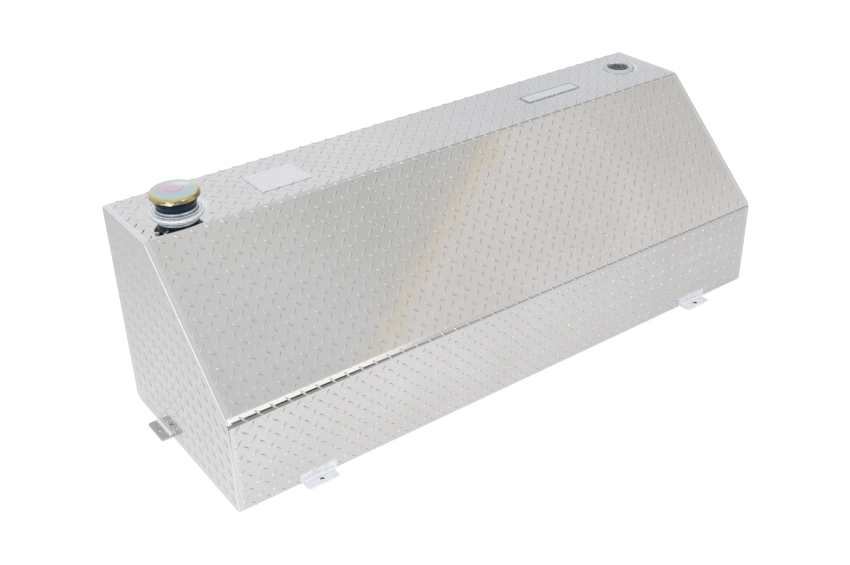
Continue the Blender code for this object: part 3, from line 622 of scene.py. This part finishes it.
def bordered_material(name, metallic, face, line, size, centre, inset, width, low, high):
    """A bare printed surface with one thin border line."""
    nodes = Surface(name, metallic)
    place = nodes.place()
    gaps = []
    for coordinate, middle, length in zip(nodes.xyz(place), centre, size):
        gaps.append(nodes.math("SUBTRACT", length / 2, nodes.away(coordinate, middle)))
    near = nodes.away(nodes.math("MINIMUM", *gaps), inset)
    on_line = nodes.fall(near, width / 2 - 0.0001, width / 2 + 0.0001)
    patches = nodes.noise(place, 60, 4.0)
    darker = tuple(0.95 * c for c in face)
    colour = nodes.mix(on_line, nodes.mix(patches, darker, face), line)
    fine = nodes.noise(place, 1200, 2.0)
    return nodes.finish(colour, nodes.spread(patches, low, high), nodes.bump(fine, 0.00003, 0.5))


SHEET_METAL = tread_material("tread_plate", True)
END_METAL = tread_material("tread_plate_ends", False)
LUG_METAL = lug_material()
WELD_METAL = weld_material("weld_bead", 0.5, (0.76, 0.78, 0.81), (0.85, 0.87, 0.90), 0.26, 0.42)
EDGE_METAL = weld_material("weld_bead_edges", 0.9, (0.76, 0.78, 0.81), (0.85, 0.87, 0.90), 0.14, 0.28)
PORT_BEAD_METAL = weld_material("weld_bead_port", 0.7, (0.55, 0.58, 0.60), (0.63, 0.66, 0.68), 0.32, 0.45)
FRONT_HOLES = [(middle_of(tab).x, FRONT_Y - TAB_HOLE) for tab in FRONT_TABS]
END_HOLES = [
    (LEFT_X - TAB_HOLE, middle_of("left_end_tab").y),
    (RIGHT_X + TAB_HOLE, middle_of("right_end_tab").y),
]
# The two tab metals: the front tabs are frosted and the end tabs are mill finish. Their colours also carry
# painted light: the front tabs are painted paler, as if lit from the front, and the end tabs darker, as if in
# the tank's shadow. The last colour of each is the painted shade inside its bolt holes.
FRONT_TAB_FROSTED_LIT = tab_material(
    "tab_frosted_painted_light", 0.2, (0.80, 0.83, 0.87), (0.90, 0.92, 0.95), 0.34, 0.48, FRONT_HOLES, (0.05, 0.05, 0.05)
)
END_TAB_MILL_SHADED = tab_material(
    "tab_aluminium", 1.0, (0.58, 0.59, 0.57), (0.66, 0.67, 0.65), 0.16, 0.28, END_HOLES, (0.35, 0.35, 0.34)
)
RING_SHADED_GROOVE = (TOP_Z + 0.0078, TOP_Z + 0.0115, 0.0475)
RING_METAL = turned_material(
    "ring_aluminium", 0.75, (0.74, 0.79, 0.84), (0.60, 0.65, 0.70), 0.24, 0.36, FILLER, RING_SHADED_GROOVE
)
ZINC = turned_material("zinc_steel", 1.0, (0.68, 0.72, 0.73), (0.56, 0.61, 0.61), 0.18, 0.30, PORT)
GOLD = gold_material()
BLACK = mottled_material(
    "black_nylon", 0.0, (0.004, 0.007, 0.014), (0.008, 0.014, 0.026), 0.10, 0.22, 0.00004
)
BLACK.node_tree.nodes["Principled BSDF"].inputs["Specular Tint"].default_value = (0.35, 0.60, 1.0, 1)
RUBBER = mottled_material("black_rubber", 0.0, (0.015, 0.015, 0.015), (0.03, 0.03, 0.03), 0.5, 0.7, 0.0001)
STEEL = mottled_material("spring_steel", 1.0, (0.45, 0.46, 0.48), (0.62, 0.63, 0.65), 0.25, 0.4, 0.00004)
PLATE_FACE = bordered_material(
    "bare_plate", 1.0, (0.75, 0.77, 0.80), (0.03, 0.05, 0.10), PLATE_SIZE, PLATE, 0.0028, 0.0022, 0.22, 0.32
)
LABEL_FACE = bordered_material(
    "bare_label", 0.0, (0.66, 0.66, 0.69), (0.62, 0.60, 0.66), LABEL_SIZE, LABEL, 0.0045, 0.0008, 0.30, 0.45
)


# The folded sheet

def build_wrapper():
    outer, _ = tank_outline(0)
    inner, _ = tank_outline(SHEET)
    end = SHEET + SEAT_GAP
    left = LEFT_X + end
    right = RIGHT_X - end
    rings = []
    for x, outline in ((left, outer), (left, inner), (right, inner), (right, outer)):
        rings.append([(x, y, z) for y, z in outline])
    verts, faces = loft(rings, joined=True)
    piece = make_piece("folded_sheet", verts, faces, SHEET_METAL, "tank", ["wrapper_sheet"])
    holes = [(FILLER.xy, FILLER_OPENING), (PORT.xy, PORT_OPENING)]
    cut_holes(piece, holes, TOP_Z - SHEET - 0.001, TOP_Z + 0.001)
    smooth(piece.data)
    even_normals(piece)


build_wrapper()


# Raised tread marks

def lug_template():
    """Points (along, across, height) and faces of one mark, with tapered ends and a flat underside."""
    stations = (-0.86, -0.62, -0.3, 0.0, 0.3, 0.62, 0.86)
    across = (-1.0, -0.72, -0.26, 0.26, 0.72, 1.0)
    rise = (0.0, 0.64, 1.0, 1.0, 0.64, 0.0)
    points = []
    for station in stations:
        width = (1 - abs(station) ** 2.2) ** 0.62
        height = (1 - abs(station) ** 3) ** 0.75
        for side, up in zip(across, rise):
            tall = (LUG_HEIGHT + LUG_SINK) * up * height - LUG_SINK
            points.append((station * LUG_LENGTH / 2, side * width * LUG_WIDTH / 2, tall))
    first_tip = len(points)
    last_tip = first_tip + 1
    points.append((-LUG_LENGTH / 2, 0, -LUG_SINK))
    points.append((LUG_LENGTH / 2, 0, -LUG_SINK))
    rows = np.arange(first_tip).reshape(len(stations), -1).tolist()
    faces = []
    for row, after in zip(rows, rows[1:]):
        faces += zip(row, after, after[1:], row[1:])
    for low, high, next_low, next_high in zip(rows[0], rows[-1], rows[0][1:], rows[-1][1:]):
        faces.append((first_tip, low, next_low))
        faces.append((high, last_tip, next_high))
    low_side = [row[0] for row in rows]
    high_side = [row[-1] for row in rows]
    faces.append((first_tip, *high_side, last_tip, *low_side[::-1]))
    return np.array(points), faces


LUG_POINTS, LUG_FACES = lug_template()


def lattice(columns, rows):
    """Middles and leanings of the marks: one grid leans one way, its offset twin the other."""
    spots = []
    for row in rows:
        for column in columns:
            for shift, lean in ((0, 1), (0.5, -1)):
                u = LUG_FIRST_X + (column + shift) * LUG_PITCH_X
                v = LUG_FIRST_V + (row + shift) * LUG_PITCH_V
                spots.append((u, v, lean))
    return spots


def build_tread(name, spots, mapping):
    """Lays the marks at (u, v, leaning), and maps (u, v, height) to a point in space."""
    along, across, tall = LUG_POINTS.T
    verts = []
    faces = []
    for u, v, lean in spots:
        local_u = u + (along - across * lean) * DIAGONAL
        local_v = v + (along * lean + across) * DIAGONAL
        offset = len(verts)
        verts += list(mapping(local_u, local_v, tall))
        faces += [[index + offset for index in face] for face in LUG_FACES]
    make_piece(name, verts, faces, LUG_METAL, "tank", sharp=60)


def sheet_mapping(u, v, height):
    y, z = on_sheet(v, height)
    return np.column_stack((LEFT_X + u, y, z))


def is_bare(face, x, v):
    """True where the sheet is ground off or kept clear for a weld."""
    keep_off = LUG_LENGTH * 0.35
    y, _ = on_sheet(v, 0)
    if face in ("top", "slant"):
        stretch = 1.0 if y > FILLER.y else 0.76
        if math.hypot(x - FILLER.x, (y - FILLER.y) * stretch) < FILLER_BARE + keep_off:
            return True
    if face == "top":
        return math.hypot(x - PORT.x, y - PORT.y) < PORT_BARE + keep_off
    if face == "front":
        nearest = min(abs(x - middle_of(tab).x) for tab in FRONT_TABS)
        return v < TAB_BARE_HEIGHT and nearest < TAB_BARE_HALF
    return face == "bottom" and (abs(v - SEAM) < SEAM_BARE_HALF or AROUND - v < FOOT_BARE)


def build_wrapper_tread():
    length = RIGHT_X - LEFT_X
    folds = [0.0, *(bend_middle(corner) for corner in (4, 3, 2, 1)), AROUND + TIGHT_BEND]
    columns = range(-1, int(length / LUG_PITCH_X) + 1)
    rows = range(-1, int(AROUND / LUG_PITCH_V) + 1)
    for face, low, high in zip(("front", "slant", "top", "back", "bottom"), folds, folds[1:]):
        spots = []
        for u, v, lean in lattice(columns, rows):
            inside = low <= v < high and LUG_END_MARGIN <= u <= length - LUG_END_MARGIN
            if inside and not is_bare(face, LEFT_X + u, v):
                spots.append((u, v, lean))
        build_tread("tread_" + face, spots, sheet_mapping)


build_wrapper_tread()


def inside_profile(y, z, margin):
    """True where a point is inside the end profile by at least the margin."""
    for corner, _, after in turns(inset_corners(margin)):
        if after[0] * (z - corner[1]) - after[1] * (y - corner[0]) < 0:
            return False
    return True


def build_end_tread(name, x, outward):
    reach = LUG_LENGTH / 2 * DIAGONAL
    more_than_covers = range(-1, 16)
    spots = []
    for u, v, lean in lattice(more_than_covers, more_than_covers):
        y = FRONT_Y + u
        z = BOTTOM_Z + v
        tips = [(y - reach, z - reach * lean), (y + reach, z + reach * lean)]
        worn = math.hypot(y - BACK_Y, z - BOTTOM_Z) < WORN_CORNER
        if not worn and all(inside_profile(*tip, LUG_EDGE_MARGIN) for tip in tips):
            spots.append((y, z, lean))

    def mapping(u, v, height):
        return np.column_stack((x + outward * height, u, v))

    build_tread(name, spots, mapping)


build_end_tread("tread_left_end", LEFT_X, -1)
build_end_tread("tread_right_end", RIGHT_X, 1)


# Weld beads

def ripple(distance, pitch, amount):
    """Scalloped ridges of a bead at a distance along it."""
    phase = (distance / pitch) % 1.0
    return amount * (np.sqrt(np.maximum(0, 1 - (2 * phase - 1) ** 2)) - 0.6)


def build_end_weld(name, outer_x, inward):
    """A bead round an end of the tank, laid on many copies of the end profile."""
    spacing = 0.0016
    bend_steps = 30
    _, lengths = closed(tank_outline(0, bend_steps)[0])
    count = int(lengths[-1] / spacing)
    stations = np.arange(count) * lengths[-1] / count
    sections = [(SHEET, SHEET), *arc((SHEET, SHEET), SHEET, math.pi, math.pi / 2, 7)]
    rings = []
    for place, (inset, depth) in enumerate(sections):
        curve, _ = closed(tank_outline(inset, bend_steps)[0])
        y, z = (np.interp(stations, lengths, curve[:, axis]) for axis in (0, 1))
        swell = np.zeros(count)
        if 1 < place < len(sections) - 1:
            swell = ripple(stations + 0.0006 * place, 0.0052, 0.00022) + 0.0002 * np.sin(stations * 41)
        x = outer_x + inward * (depth - swell * 0.7)
        rings.append(np.column_stack((x, y, z)))
    verts, faces = loft(rings, joined=True)
    make_piece(name, verts, faces, EDGE_METAL, "tank", [name.replace("_bead", "_weld")], 50)


build_end_weld("left_end_bead", LEFT_X, 1)
build_end_weld("right_end_bead", RIGHT_X, -1)


def build_ring_weld(name, radius, leg, centre, replaced, metal):
    segments = 640
    ridges = 84
    corner = (radius + SEAT_GAP, SEAT_GAP)
    section = [corner, *arc(corner, leg, 0, math.pi / 2, 7)]

    def shape(r, z, angle):
        grow = 1 + ripple(radius * angle, math.tau * radius / ridges, 0.16) + 0.05 * math.sin(3 * angle + 1)
        return corner[0] + (r - corner[0]) * grow, corner[1] + (z - corner[1]) * grow

    verts, faces = spun(section, segments, centre, shape)
    make_piece(name, verts, faces, metal, "tank", [replaced], 50)


build_ring_weld("filler_bead", FILLER_BEAD_RADIUS, FILLER_BEAD_LEG, FILLER, "filler_weld", WELD_METAL)
build_ring_weld("port_bead", PORT_BEAD_RADIUS, PORT_BEAD_LEG, PORT, "port_weld", PORT_BEAD_METAL)


# Mounting tabs and their beads

def build_tab(name, move):
    """A flat bar tab with rounded corners, eased edges and its bolt hole."""
    ease = 0.0007
    slight = 0.3 * ease
    corners = [(TAB_HALF, -SEAT_GAP), (-TAB_HALF, -SEAT_GAP), (-TAB_HALF, -TAB_REACH), (TAB_HALF, -TAB_REACH)]
    outline, _ = rounded(np.array(corners), (0.001, 0.001, 0.005, 0.005), 6)
    middle = np.array((0, -TAB_REACH / 2))
    hole_centre = np.array((0, -TAB_HOLE))
    hole = arc(hole_centre, TAB_HOLE_RADIUS, 0, math.tau, 32)[:-1]
    levels = [(ease, 0.0), (slight, slight), (0.0, ease)]
    levels += [(inset, TAB_THICK - z) for inset, z in levels[::-1]]
    mesh = bmesh.new()
    outer_rings = []
    hole_rings = []
    for inset, z in levels:
        shrunk = (outline - middle) * (1 - inset / TAB_HALF, 1 - inset / (TAB_REACH / 2)) + middle
        grown = (hole - hole_centre) * (1 + inset / TAB_HOLE_RADIUS) + hole_centre
        outer_rings.append([mesh.verts.new((x, y, z)) for x, y in shrunk])
        hole_rings.append([mesh.verts.new((x, y, z)) for x, y in grown])
    for face in quads(outer_rings) + quads(hole_rings):
        mesh.faces.new(face)
    for level in (0, -1):
        edges = []
        for ring in (outer_rings[level], hole_rings[level]):
            edges += [mesh.edges.get(pair) for pair in zip(ring, ring[1:] + ring[:1])]
        bmesh.ops.triangle_fill(mesh, edges=edges, use_beauty=True)
    bmesh.ops.transform(mesh, matrix=move, verts=mesh.verts)
    data = bpy.data.meshes.new(name)
    mesh.to_mesh(data)
    mesh.free()
    metal = FRONT_TAB_FROSTED_LIT if name in FRONT_TABS else END_TAB_MILL_SHADED
    even_normals(finish_piece(name + "_bar", data, metal, "tank", [name]))


def build_tab_weld(name, move):
    """A hand-laid bead in the corner above a tab, with overlapping pools and round ends."""
    half = TAB_HALF - 0.001
    steps = 150
    leg = 0.0062
    tuck = 0.0002
    base_y = -SEAT_GAP
    base_z = TAB_THICK + SEAT_GAP
    rings = []
    for step in range(steps + 1):
        along = -half + 2 * half * step / steps
        end = min(1.0, (half - abs(along)) / 0.005 + 0.02)
        swell = math.sqrt(1 - (1 - end) ** 2)
        size = leg * swell * (1 + ripple(along + half, 0.0042, 0.16) + 0.06 * math.sin(along * 190))
        ring = [(along, base_y + tuck, base_z - tuck)]
        for angle in np.linspace(0, math.pi / 2, 8):
            ring.append((along, base_y - size * math.cos(angle), base_z + size * 1.15 * math.sin(angle)))
        rings.append([move @ Vector(point) for point in ring])
    verts, faces = loft(rings)
    make_piece(name + "_bead", verts, faces, WELD_METAL, "tank", [name + "_weld"], 60)


TAB_PLACES = {
    "front_left_tab": (0.0, middle_of("front_left_tab").x, FRONT_Y),
    "front_right_tab": (0.0, middle_of("front_right_tab").x, FRONT_Y),
    "left_end_tab": (-math.pi / 2, LEFT_X, middle_of("left_end_tab").y),
    "right_end_tab": (math.pi / 2, RIGHT_X, middle_of("right_end_tab").y),
}
for tab_name, (tab_turn, tab_x, tab_y) in TAB_PLACES.items():
    tab_move = Matrix.Translation((tab_x, tab_y, 0)) @ Matrix.Rotation(tab_turn, 4, "Z")
    build_tab(tab_name, tab_move)
    build_tab_weld(tab_name, tab_move)


# Filler ring, neck and cap

RING_CORNERS = (
    (0.037, -0.012), (0.0445, -0.012), (0.0445, 0.0003), (0.052, 0.0003), (0.052, 0.006), (0.048, 0.006),
    (0.046, 0.008), (0.046, 0.015), (0.042, 0.015), (0.042, 0.002), (0.037, 0.002),
)
NECK_CORNERS = (
    (0.037, 0.0023), (0.0417, 0.0023), (0.0417, 0.017), (0.0455, 0.027), (0.0455, 0.045),
    (0.034, 0.045), (0.034, 0.042), (0.0397, 0.042), (0.0397, 0.031), (0.037, 0.0283),
)
RING_PROFILE = soften(RING_CORNERS, 0.0012)
NECK_PROFILE = soften(NECK_CORNERS, 0.0010)


def cap_profile():
    """A pressed shell: a low crown with a raised flat pad, a round shoulder and a flared skirt."""
    edge = 0.0475
    edge_top = 0.0513
    rise = 0.0047
    shoulder = 0.0058
    shell = 0.0012
    pad = 0.0195

    def crown(radius):
        return edge_top + rise * (1 - (radius / edge) ** 2)

    outside = [(radius, crown(0) + 0.0006) for radius in (0, pad * 0.5, pad - 0.0012)]
    outside += [(pad, crown(pad) + 0.0005), (pad + 0.0010, crown(pad + 0.0010) - 0.0001)]
    for step in range(1, 10):
        radius = pad + 0.001 + (edge - pad - 0.001) * step / 10
        outside.append((radius, crown(radius)))
    bend = (edge, edge_top - shoulder)
    outside += [*arc(bend, shoulder, math.pi / 2, -math.pi / 2, 10)]
    skirt = [(0.0535, 0.0435), (0.0538, 0.0415), (0.0540, 0.0402), (0.0535, 0.0400)]
    inside = [(0.0529, 0.0402), (0.0524, 0.0435), *arc(bend, shoulder - shell, 0, math.pi / 2, 8)]
    for step in range(5, -1, -1):
        radius = edge * step / 6
        inside.append((radius, crown(radius) - shell))
    return outside + skirt + inside


def cap_shape(radius, height, angle):
    """Pushes the skirt out into two small ears."""
    if radius < 0.052 or height > 0.0475:
        return radius, height
    push = 0.0
    for side in (0, math.pi):
        off = math.degrees((angle - EAR_AZIMUTH - side + math.pi) % math.tau - math.pi)
        push = max(push, math.exp(-((off / 9.0) ** 4)))
    low = min(1.0, max(0.0, (0.0470 - height) / 0.005))
    return radius + 0.0020 * push * low, height


build_turned("filler_ring_turned", RING_PROFILE, FILLER, RING_METAL, "tank", "filler_ring")
build_turned("filler_neck_moulded", NECK_PROFILE, FILLER, BLACK, "tank", "filler_neck")
build_turned(
    "cap_pressing", cap_profile(), FILLER, GOLD, "cap", "cap_shell", 240, cap_shape, 50
)


# Spring of the vent valve, inside the cap

def build_vent_spring():
    """The coil under the vent valve's head. The real coil shortens as the valve drops; this one is built at
    one length.
    """
    low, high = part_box("vent_spring")
    length = high.z - low.z
    radius = (high.x - low.x) / 2 - VENT_WIRE
    steps = 84
    sides = 8
    rings = []
    for step in range(steps + 1):
        share = step / steps
        angle = math.tau * VENT_TURNS * share
        outward = Vector((math.cos(angle), math.sin(angle), 0))
        lift = VENT_WIRE + (length - 2 * VENT_WIRE) * share
        centre = Vector((FILLER.x, FILLER.y, low.z + lift)) + outward * radius
        ring = []
        for side in range(sides):
            lean = math.tau * side / sides
            ring.append(centre + (outward * math.cos(lean) + Vector((0, 0, math.sin(lean)))) * VENT_WIRE)
        rings.append(ring)
    verts, faces = loft(rings)
    coil = make_piece("vent_coil", verts, faces, STEEL, "cap", ["vent_spring"], 80)
    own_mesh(coil)


build_vent_spring()


# Pump port with its thread

def build_port():
    bore = 0.029
    pitch = 0.00221
    depth = 0.0012
    top = 0.005
    bottom = -0.022
    rows = 96
    profile = [(bore, bottom + (top - 0.0022 - bottom) * step / rows) for step in range(rows + 1)]
    profile += [
        (bore + 0.0020, top), (0.0382, top), (0.0387, top - 0.0003), (0.0390, top - 0.0009),
        (0.0390, 0.0003), (0.0365, 0.0003), (0.0365, bottom),
    ]

    def shape(radius, height, angle):
        if radius != bore or height < bottom + 0.0005:
            return radius, height
        phase = (height / pitch - angle / math.tau) % 1.0
        groove = 1 - abs(2 * phase - 1)
        flat = min(1.0, max(0.0, groove * 1.5 - 0.25))
        return radius - depth * (flat - 0.5), height

    build_turned(
        "pump_port_threaded", profile, PORT, ZINC, "tank", "pump_port_bung", 180, shape, 40
    )


build_port()


# Bare plate and bare label

def lug_height_at(x, y):
    """Height of the tread over the top sheet near a point, for the film that lies on it."""
    tall = np.zeros_like(x)
    half = LUG_LENGTH / 2
    v = bend_middle(3) + (y - (BACK_Y - TOP_DEPTH))
    u = x - LEFT_X
    for lean, shift in ((1, 0.0), (-1, 0.5)):
        du = (u - LUG_FIRST_X + (0.5 - shift) * LUG_PITCH_X) % LUG_PITCH_X - LUG_PITCH_X / 2
        dv = (v - LUG_FIRST_V + (0.5 - shift) * LUG_PITCH_V) % LUG_PITCH_V - LUG_PITCH_V / 2
        along = (du + dv * lean) * DIAGONAL
        across = (dv - du * lean) * DIAGONAL
        tall = np.maximum(tall, np.exp(-((along / half) ** 4) - (across / 0.0036) ** 2))
    return tall * LUG_HEIGHT


def build_label():
    step = 0.0012
    film = 0.0003
    xs, ys = (
        middle + np.linspace(-0.5, 0.5, int(length / step) + 1) * length
        for middle, length in zip(LABEL, LABEL_SIZE)
    )
    grid_x, grid_y = np.meshgrid(xs, ys)
    height = TOP_Z + FILM_GAP + 0.6 * lug_height_at(grid_x, grid_y)
    upper = np.column_stack((grid_x.ravel(), grid_y.ravel(), height.ravel()))
    numbers = np.arange(grid_x.size).reshape(grid_x.shape)
    corners = (numbers[:-1, :-1], numbers[:-1, 1:], numbers[1:, 1:], numbers[1:, :-1])
    top = np.stack([corner.ravel() for corner in corners], axis=1)
    rim = np.concatenate((numbers[0], numbers[1:, -1], numbers[-1, -2::-1], numbers[-2:0:-1, 0]))
    faces = top.tolist() + (top[:, ::-1] + numbers.size).tolist()
    faces += quads([rim.tolist(), (rim + numbers.size).tolist()])
    verts = np.vstack((upper, upper - (0, 0, film)))
    make_piece("bare_label_film", verts, faces, LABEL_FACE, "tank", ["blank_label"], 50)


def build_plate():
    low = TOP_Z + FILM_GAP
    thick = 0.0011
    ease = 0.0002
    half = np.array(PLATE_SIZE) / 2
    centre = np.array(PLATE.xy)
    corners = [centre + half * side for side in ((1, 1), (-1, 1), (-1, -1), (1, -1))]
    outline, _ = rounded(corners, [0.002] * 4, 6)
    rings = []
    for scale, z in ((1.0, low), (1.0, low + thick - ease), (0.9985, low + thick)):
        rings.append([(x, y, z) for x, y in (outline - centre) * scale + centre])
    verts, faces = loft(rings)
    piece = make_piece("bare_plate_blank", verts, faces, PLATE_FACE, "tank", ["blank_plate"])
    even_normals(piece)


build_label()
build_plate()


# Better materials for the CAD nodes that stay
for metal, cad_nodes in (
    (END_METAL, ("left_end_panel", "right_end_panel", "left_baffle", "right_baffle")),
    (WELD_METAL, ("seam_weld",)),
    (RUBBER, ("cap_gasket",)),
    (STEEL, ("cap_lock_plate", "vent_cup", "vent_valve")),
):
    for cad_node in cad_nodes:
        for mesh_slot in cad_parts[cad_node].material_slots:
            mesh_slot.material = metal


# Floor, light and camera

def build_floor():
    """A disc under the tank. The camera and the metal see it bright, with a faint shadow."""
    ring = arc((0.0, 0.0), 3.6, 0, math.tau, 96)[:-1]
    mesh = new_mesh("floor", [(x, y, 0) for x, y in ring], [range(len(ring))])
    floor = add_object("floor", mesh)
    floor.location.z = -0.0003
    material = bpy.data.materials.new("floor")
    material.use_nodes = True
    material.node_tree.nodes.clear()
    nodes = Nodes(material.node_tree)
    path = nodes.add("LightPath").outputs
    camera = path["Is Camera Ray"]
    seen = nodes.most(camera, path["Is Glossy Ray"], path["Is Transmission Ray"])
    real = nodes.add("BsdfDiffuse", {"Color": (0.80, 0.80, 0.80)}).outputs[0]
    shaded = nodes.add("BsdfDiffuse", {"Color": (0.26, 0.26, 0.26)}).outputs[0]
    # In the metal the floor dims away from its front left, and is darkest far out in front
    x, y, _ = nodes.xyz(nodes.place())
    dimmed = nodes.span(nodes.from_axis(-0.75, -0.85), 0.3, 2.3, 0.77, 0.49)
    slanted = nodes.plus(y, nodes.times(x, 0.6))
    near = nodes.times(nodes.span(slanted, -0.90, -1.00), nodes.span(x, 0.15, -0.15))
    far = nodes.times(nodes.span(y, -0.95, -1.35), nodes.span(x, 1.1, 0.4))
    dimmed = nodes.times(dimmed, nodes.dim(near, 0.20), nodes.dim(far, 0.35))
    strength = nodes.add("Mix", {0: camera, 2: dimmed, 3: 0.79}).outputs[0]
    plain = nodes.most(camera, nodes.span(x, -0.70, -0.85))
    tint = nodes.mix(plain, (1.0, 0.985, 0.972), (1, 1, 1))
    glow = nodes.add("Emission", {"Color": tint, "Strength": strength}).outputs[0]
    shown = nodes.add("AddShader", {0: shaded, 1: glow}).outputs[0]
    mixed = nodes.add("MixShader", {0: seen, 1: real, 2: shown}).outputs[0]
    nodes.add("OutputMaterial", {"Surface": mixed})
    mesh.materials.append(material)


def build_world():
    """A studio that shows only in the metal. The camera sees plain white."""
    world = bpy.data.worlds.new("studio")
    bpy.context.scene.world = world
    world.use_nodes = True
    world.node_tree.nodes.clear()
    nodes = Nodes(world.node_tree)
    direction = nodes.vector("NORMALIZE", nodes.add("TexCoord").outputs["Generated"])
    x, y, z = nodes.xyz(direction)

    def lobe(towards, inner, outer):
        """1 within the inner angle of a direction, fading to 0 at the outer one."""
        nearness = nodes.vector("DOT_PRODUCT", direction, tuple(Vector(towards).normalized()))
        return nodes.span(nearness, math.cos(math.radians(outer)), math.cos(math.radians(inner)))

    def paint(base, lobes):
        for towards, inner, outer, colour in lobes:
            base = nodes.mix(lobe(towards, inner, outer), base, colour)
        return base

    sky = nodes.ramp(
        nodes.span(z, -0.2, 1.0, smooth=False), [(0.0, (0.90, 0.90, 0.91)), (1.0, (0.82, 0.82, 0.82))]
    )
    sky = paint(sky, (
        ((0.42, 0.77, 0.47), 16, 38, (0.97, 0.97, 1.0)),
        ((0.74, 0.60, 0.30), 8, 22, (0.83, 0.84, 0.87)),
    ))
    # The part of the studio that the slant shows: cool on the left of a warm edge, paler on its right
    side = nodes.vector("DOT_PRODUCT", direction, (0.5658, -0.4633, -0.6821))
    left_half = nodes.mix(nodes.span(y, -0.52, -0.44), (0.80, 0.805, 0.81), (0.85, 0.845, 0.83))
    halves = nodes.mix(nodes.span(side, -0.01, 0.01), left_half, (0.90, 0.875, 0.86))
    shade = nodes.times(lobe((0.53, -0.36, 0.77), 4, 11), nodes.span(side, 0.01, -0.01))
    halves = nodes.mix(shade, halves, (0.73, 0.72, 0.70))
    halves = nodes.mix(lobe((0.73, -0.30, 0.62), 2, 8), halves, (0.76, 0.74, 0.72))
    edge = nodes.fall(nodes.math("ABSOLUTE", side), 0.001, 0.006)
    halves = nodes.mix(edge, halves, (1.0, 0.80, 0.48))
    sky = nodes.mix(lobe((0.50, -0.47, 0.73), 20, 34), sky, halves)
    # Brighter overhead, dimmer far to the right and over the top fold
    sky = paint(sky, (
        ((-0.15, 0.06, 0.99), 5, 13, (0.98, 0.98, 0.98)),
        ((1.0, -0.10, 0.0), 8, 30, (0.22, 0.22, 0.25)),
        ((0.93, 0.30, 0.20), 6, 24, (0.42, 0.41, 0.42)),
        ((0.62, 0.08, 0.78), 4, 14, (0.55, 0.54, 0.53)),
        ((0.93, -0.32, 0.15), 6, 16, (0.10, 0.10, 0.12)),
    ))
    # Low in front: grey walls, a tall bright screen and a dark line at the horizon
    front = nodes.times(nodes.span(y, -0.45, -0.75), nodes.window(z, -0.1, 0.40, 0.15))
    front = nodes.times(front, nodes.span(x, 0.56, 0.38))
    walls = nodes.mix(nodes.span(x, -0.12, 0.04), (0.72, 0.71, 0.70), (0.54, 0.53, 0.53))
    ahead = nodes.span(y, -0.3, -0.5)
    screen = nodes.times(nodes.window(x, 0.20, 0.43, 0.06), nodes.window(z, 0.17, 0.64, 0.03), ahead)
    under = nodes.times(nodes.window(x, 0.16, 0.40, 0.06), nodes.window(z, -0.1, 0.13, 0.03), ahead)
    low = nodes.times(nodes.window(z, -0.4, 0.05, 0.03), nodes.span(x, 0.60, 0.42))
    low = nodes.times(nodes.most(low, nodes.window(z, -0.10, 0.02, 0.03)), nodes.span(y, -0.1, -0.35))
    horizon = nodes.mix(nodes.span(x, 0.36, 0.52), (0.16, 0.16, 0.18), (0.42, 0.40, 0.39))
    sky = nodes.mix(front, sky, walls)
    sky = nodes.mix(screen, sky, (1.36, 1.34, 1.29))
    sky = nodes.mix(low, sky, horizon)
    sky = nodes.mix(under, sky, (0.05, 0.05, 0.06))
    # Small bright boxes that glint on the tread and on the left edge
    sky = paint(sky, (
        ((-0.78, -0.46, 0.43), 4, 9, [1.6] * 3),
        ((-0.76, -0.64, 0.08), 5, 9, [3.4] * 3),
        ((-0.58, -0.81, 0.12), 6, 10, [2.3] * 3),
        ((0.18, -0.98, 0.04), 5, 8, [5.0] * 3),
        ((-0.28, -0.50, 0.82), 5, 9, [1.8] * 3),
        ((-0.58, -0.60, 0.55), 2, 5, [1.8] * 3),
        ((0.39, 0.87, 0.29), 2, 6, [1.4] * 3),
        ((-0.78, -0.20, 0.62), 8, 16, [1.4] * 3),
    ))
    camera = nodes.add("LightPath").outputs["Is Camera Ray"]
    back = nodes.add("Background", {"Color": nodes.mix(camera, sky, (1, 1, 1)), "Strength": 1.0})
    nodes.add("OutputWorld", {"Surface": back.outputs[0]})


def add_area(name, place, size, energy):
    data = bpy.data.lights.new(name, "AREA")
    data.shape = "RECTANGLE"
    data.size, data.size_y = size
    data.energy = energy
    lamp = add_object(name, data)
    lamp.location = place
    lamp.visible_glossy = False
    lamp.rotation_euler = (Vector(LIT_POINT) - Vector(place)).to_track_quat("-Z", "Y").to_euler()


def build_camera():
    forward = Vector(CAMERA_FORWARD).normalized()
    right = Vector(CAMERA_RIGHT)
    right = (right - forward * right.dot(forward)).normalized()
    up = right.cross(forward)
    data = bpy.data.cameras.new("camera")
    data.lens = LENS
    data.sensor_width = SENSOR
    camera = add_object("camera", data)
    turn = Matrix((right, up, -forward)).transposed()
    camera.matrix_world = Matrix.Translation(CAMERA_PLACE) @ turn.to_4x4()
    bpy.context.scene.camera = camera


build_floor()
build_world()
add_area("key", (-1.6, -2.6, 3.2), (2.4, 1.6), 42)
add_area("fill", (2.6, 1.4, 3.0), (2.0, 2.0), 16)
build_camera()
bpy.context.scene.view_settings.view_transform = "Standard"
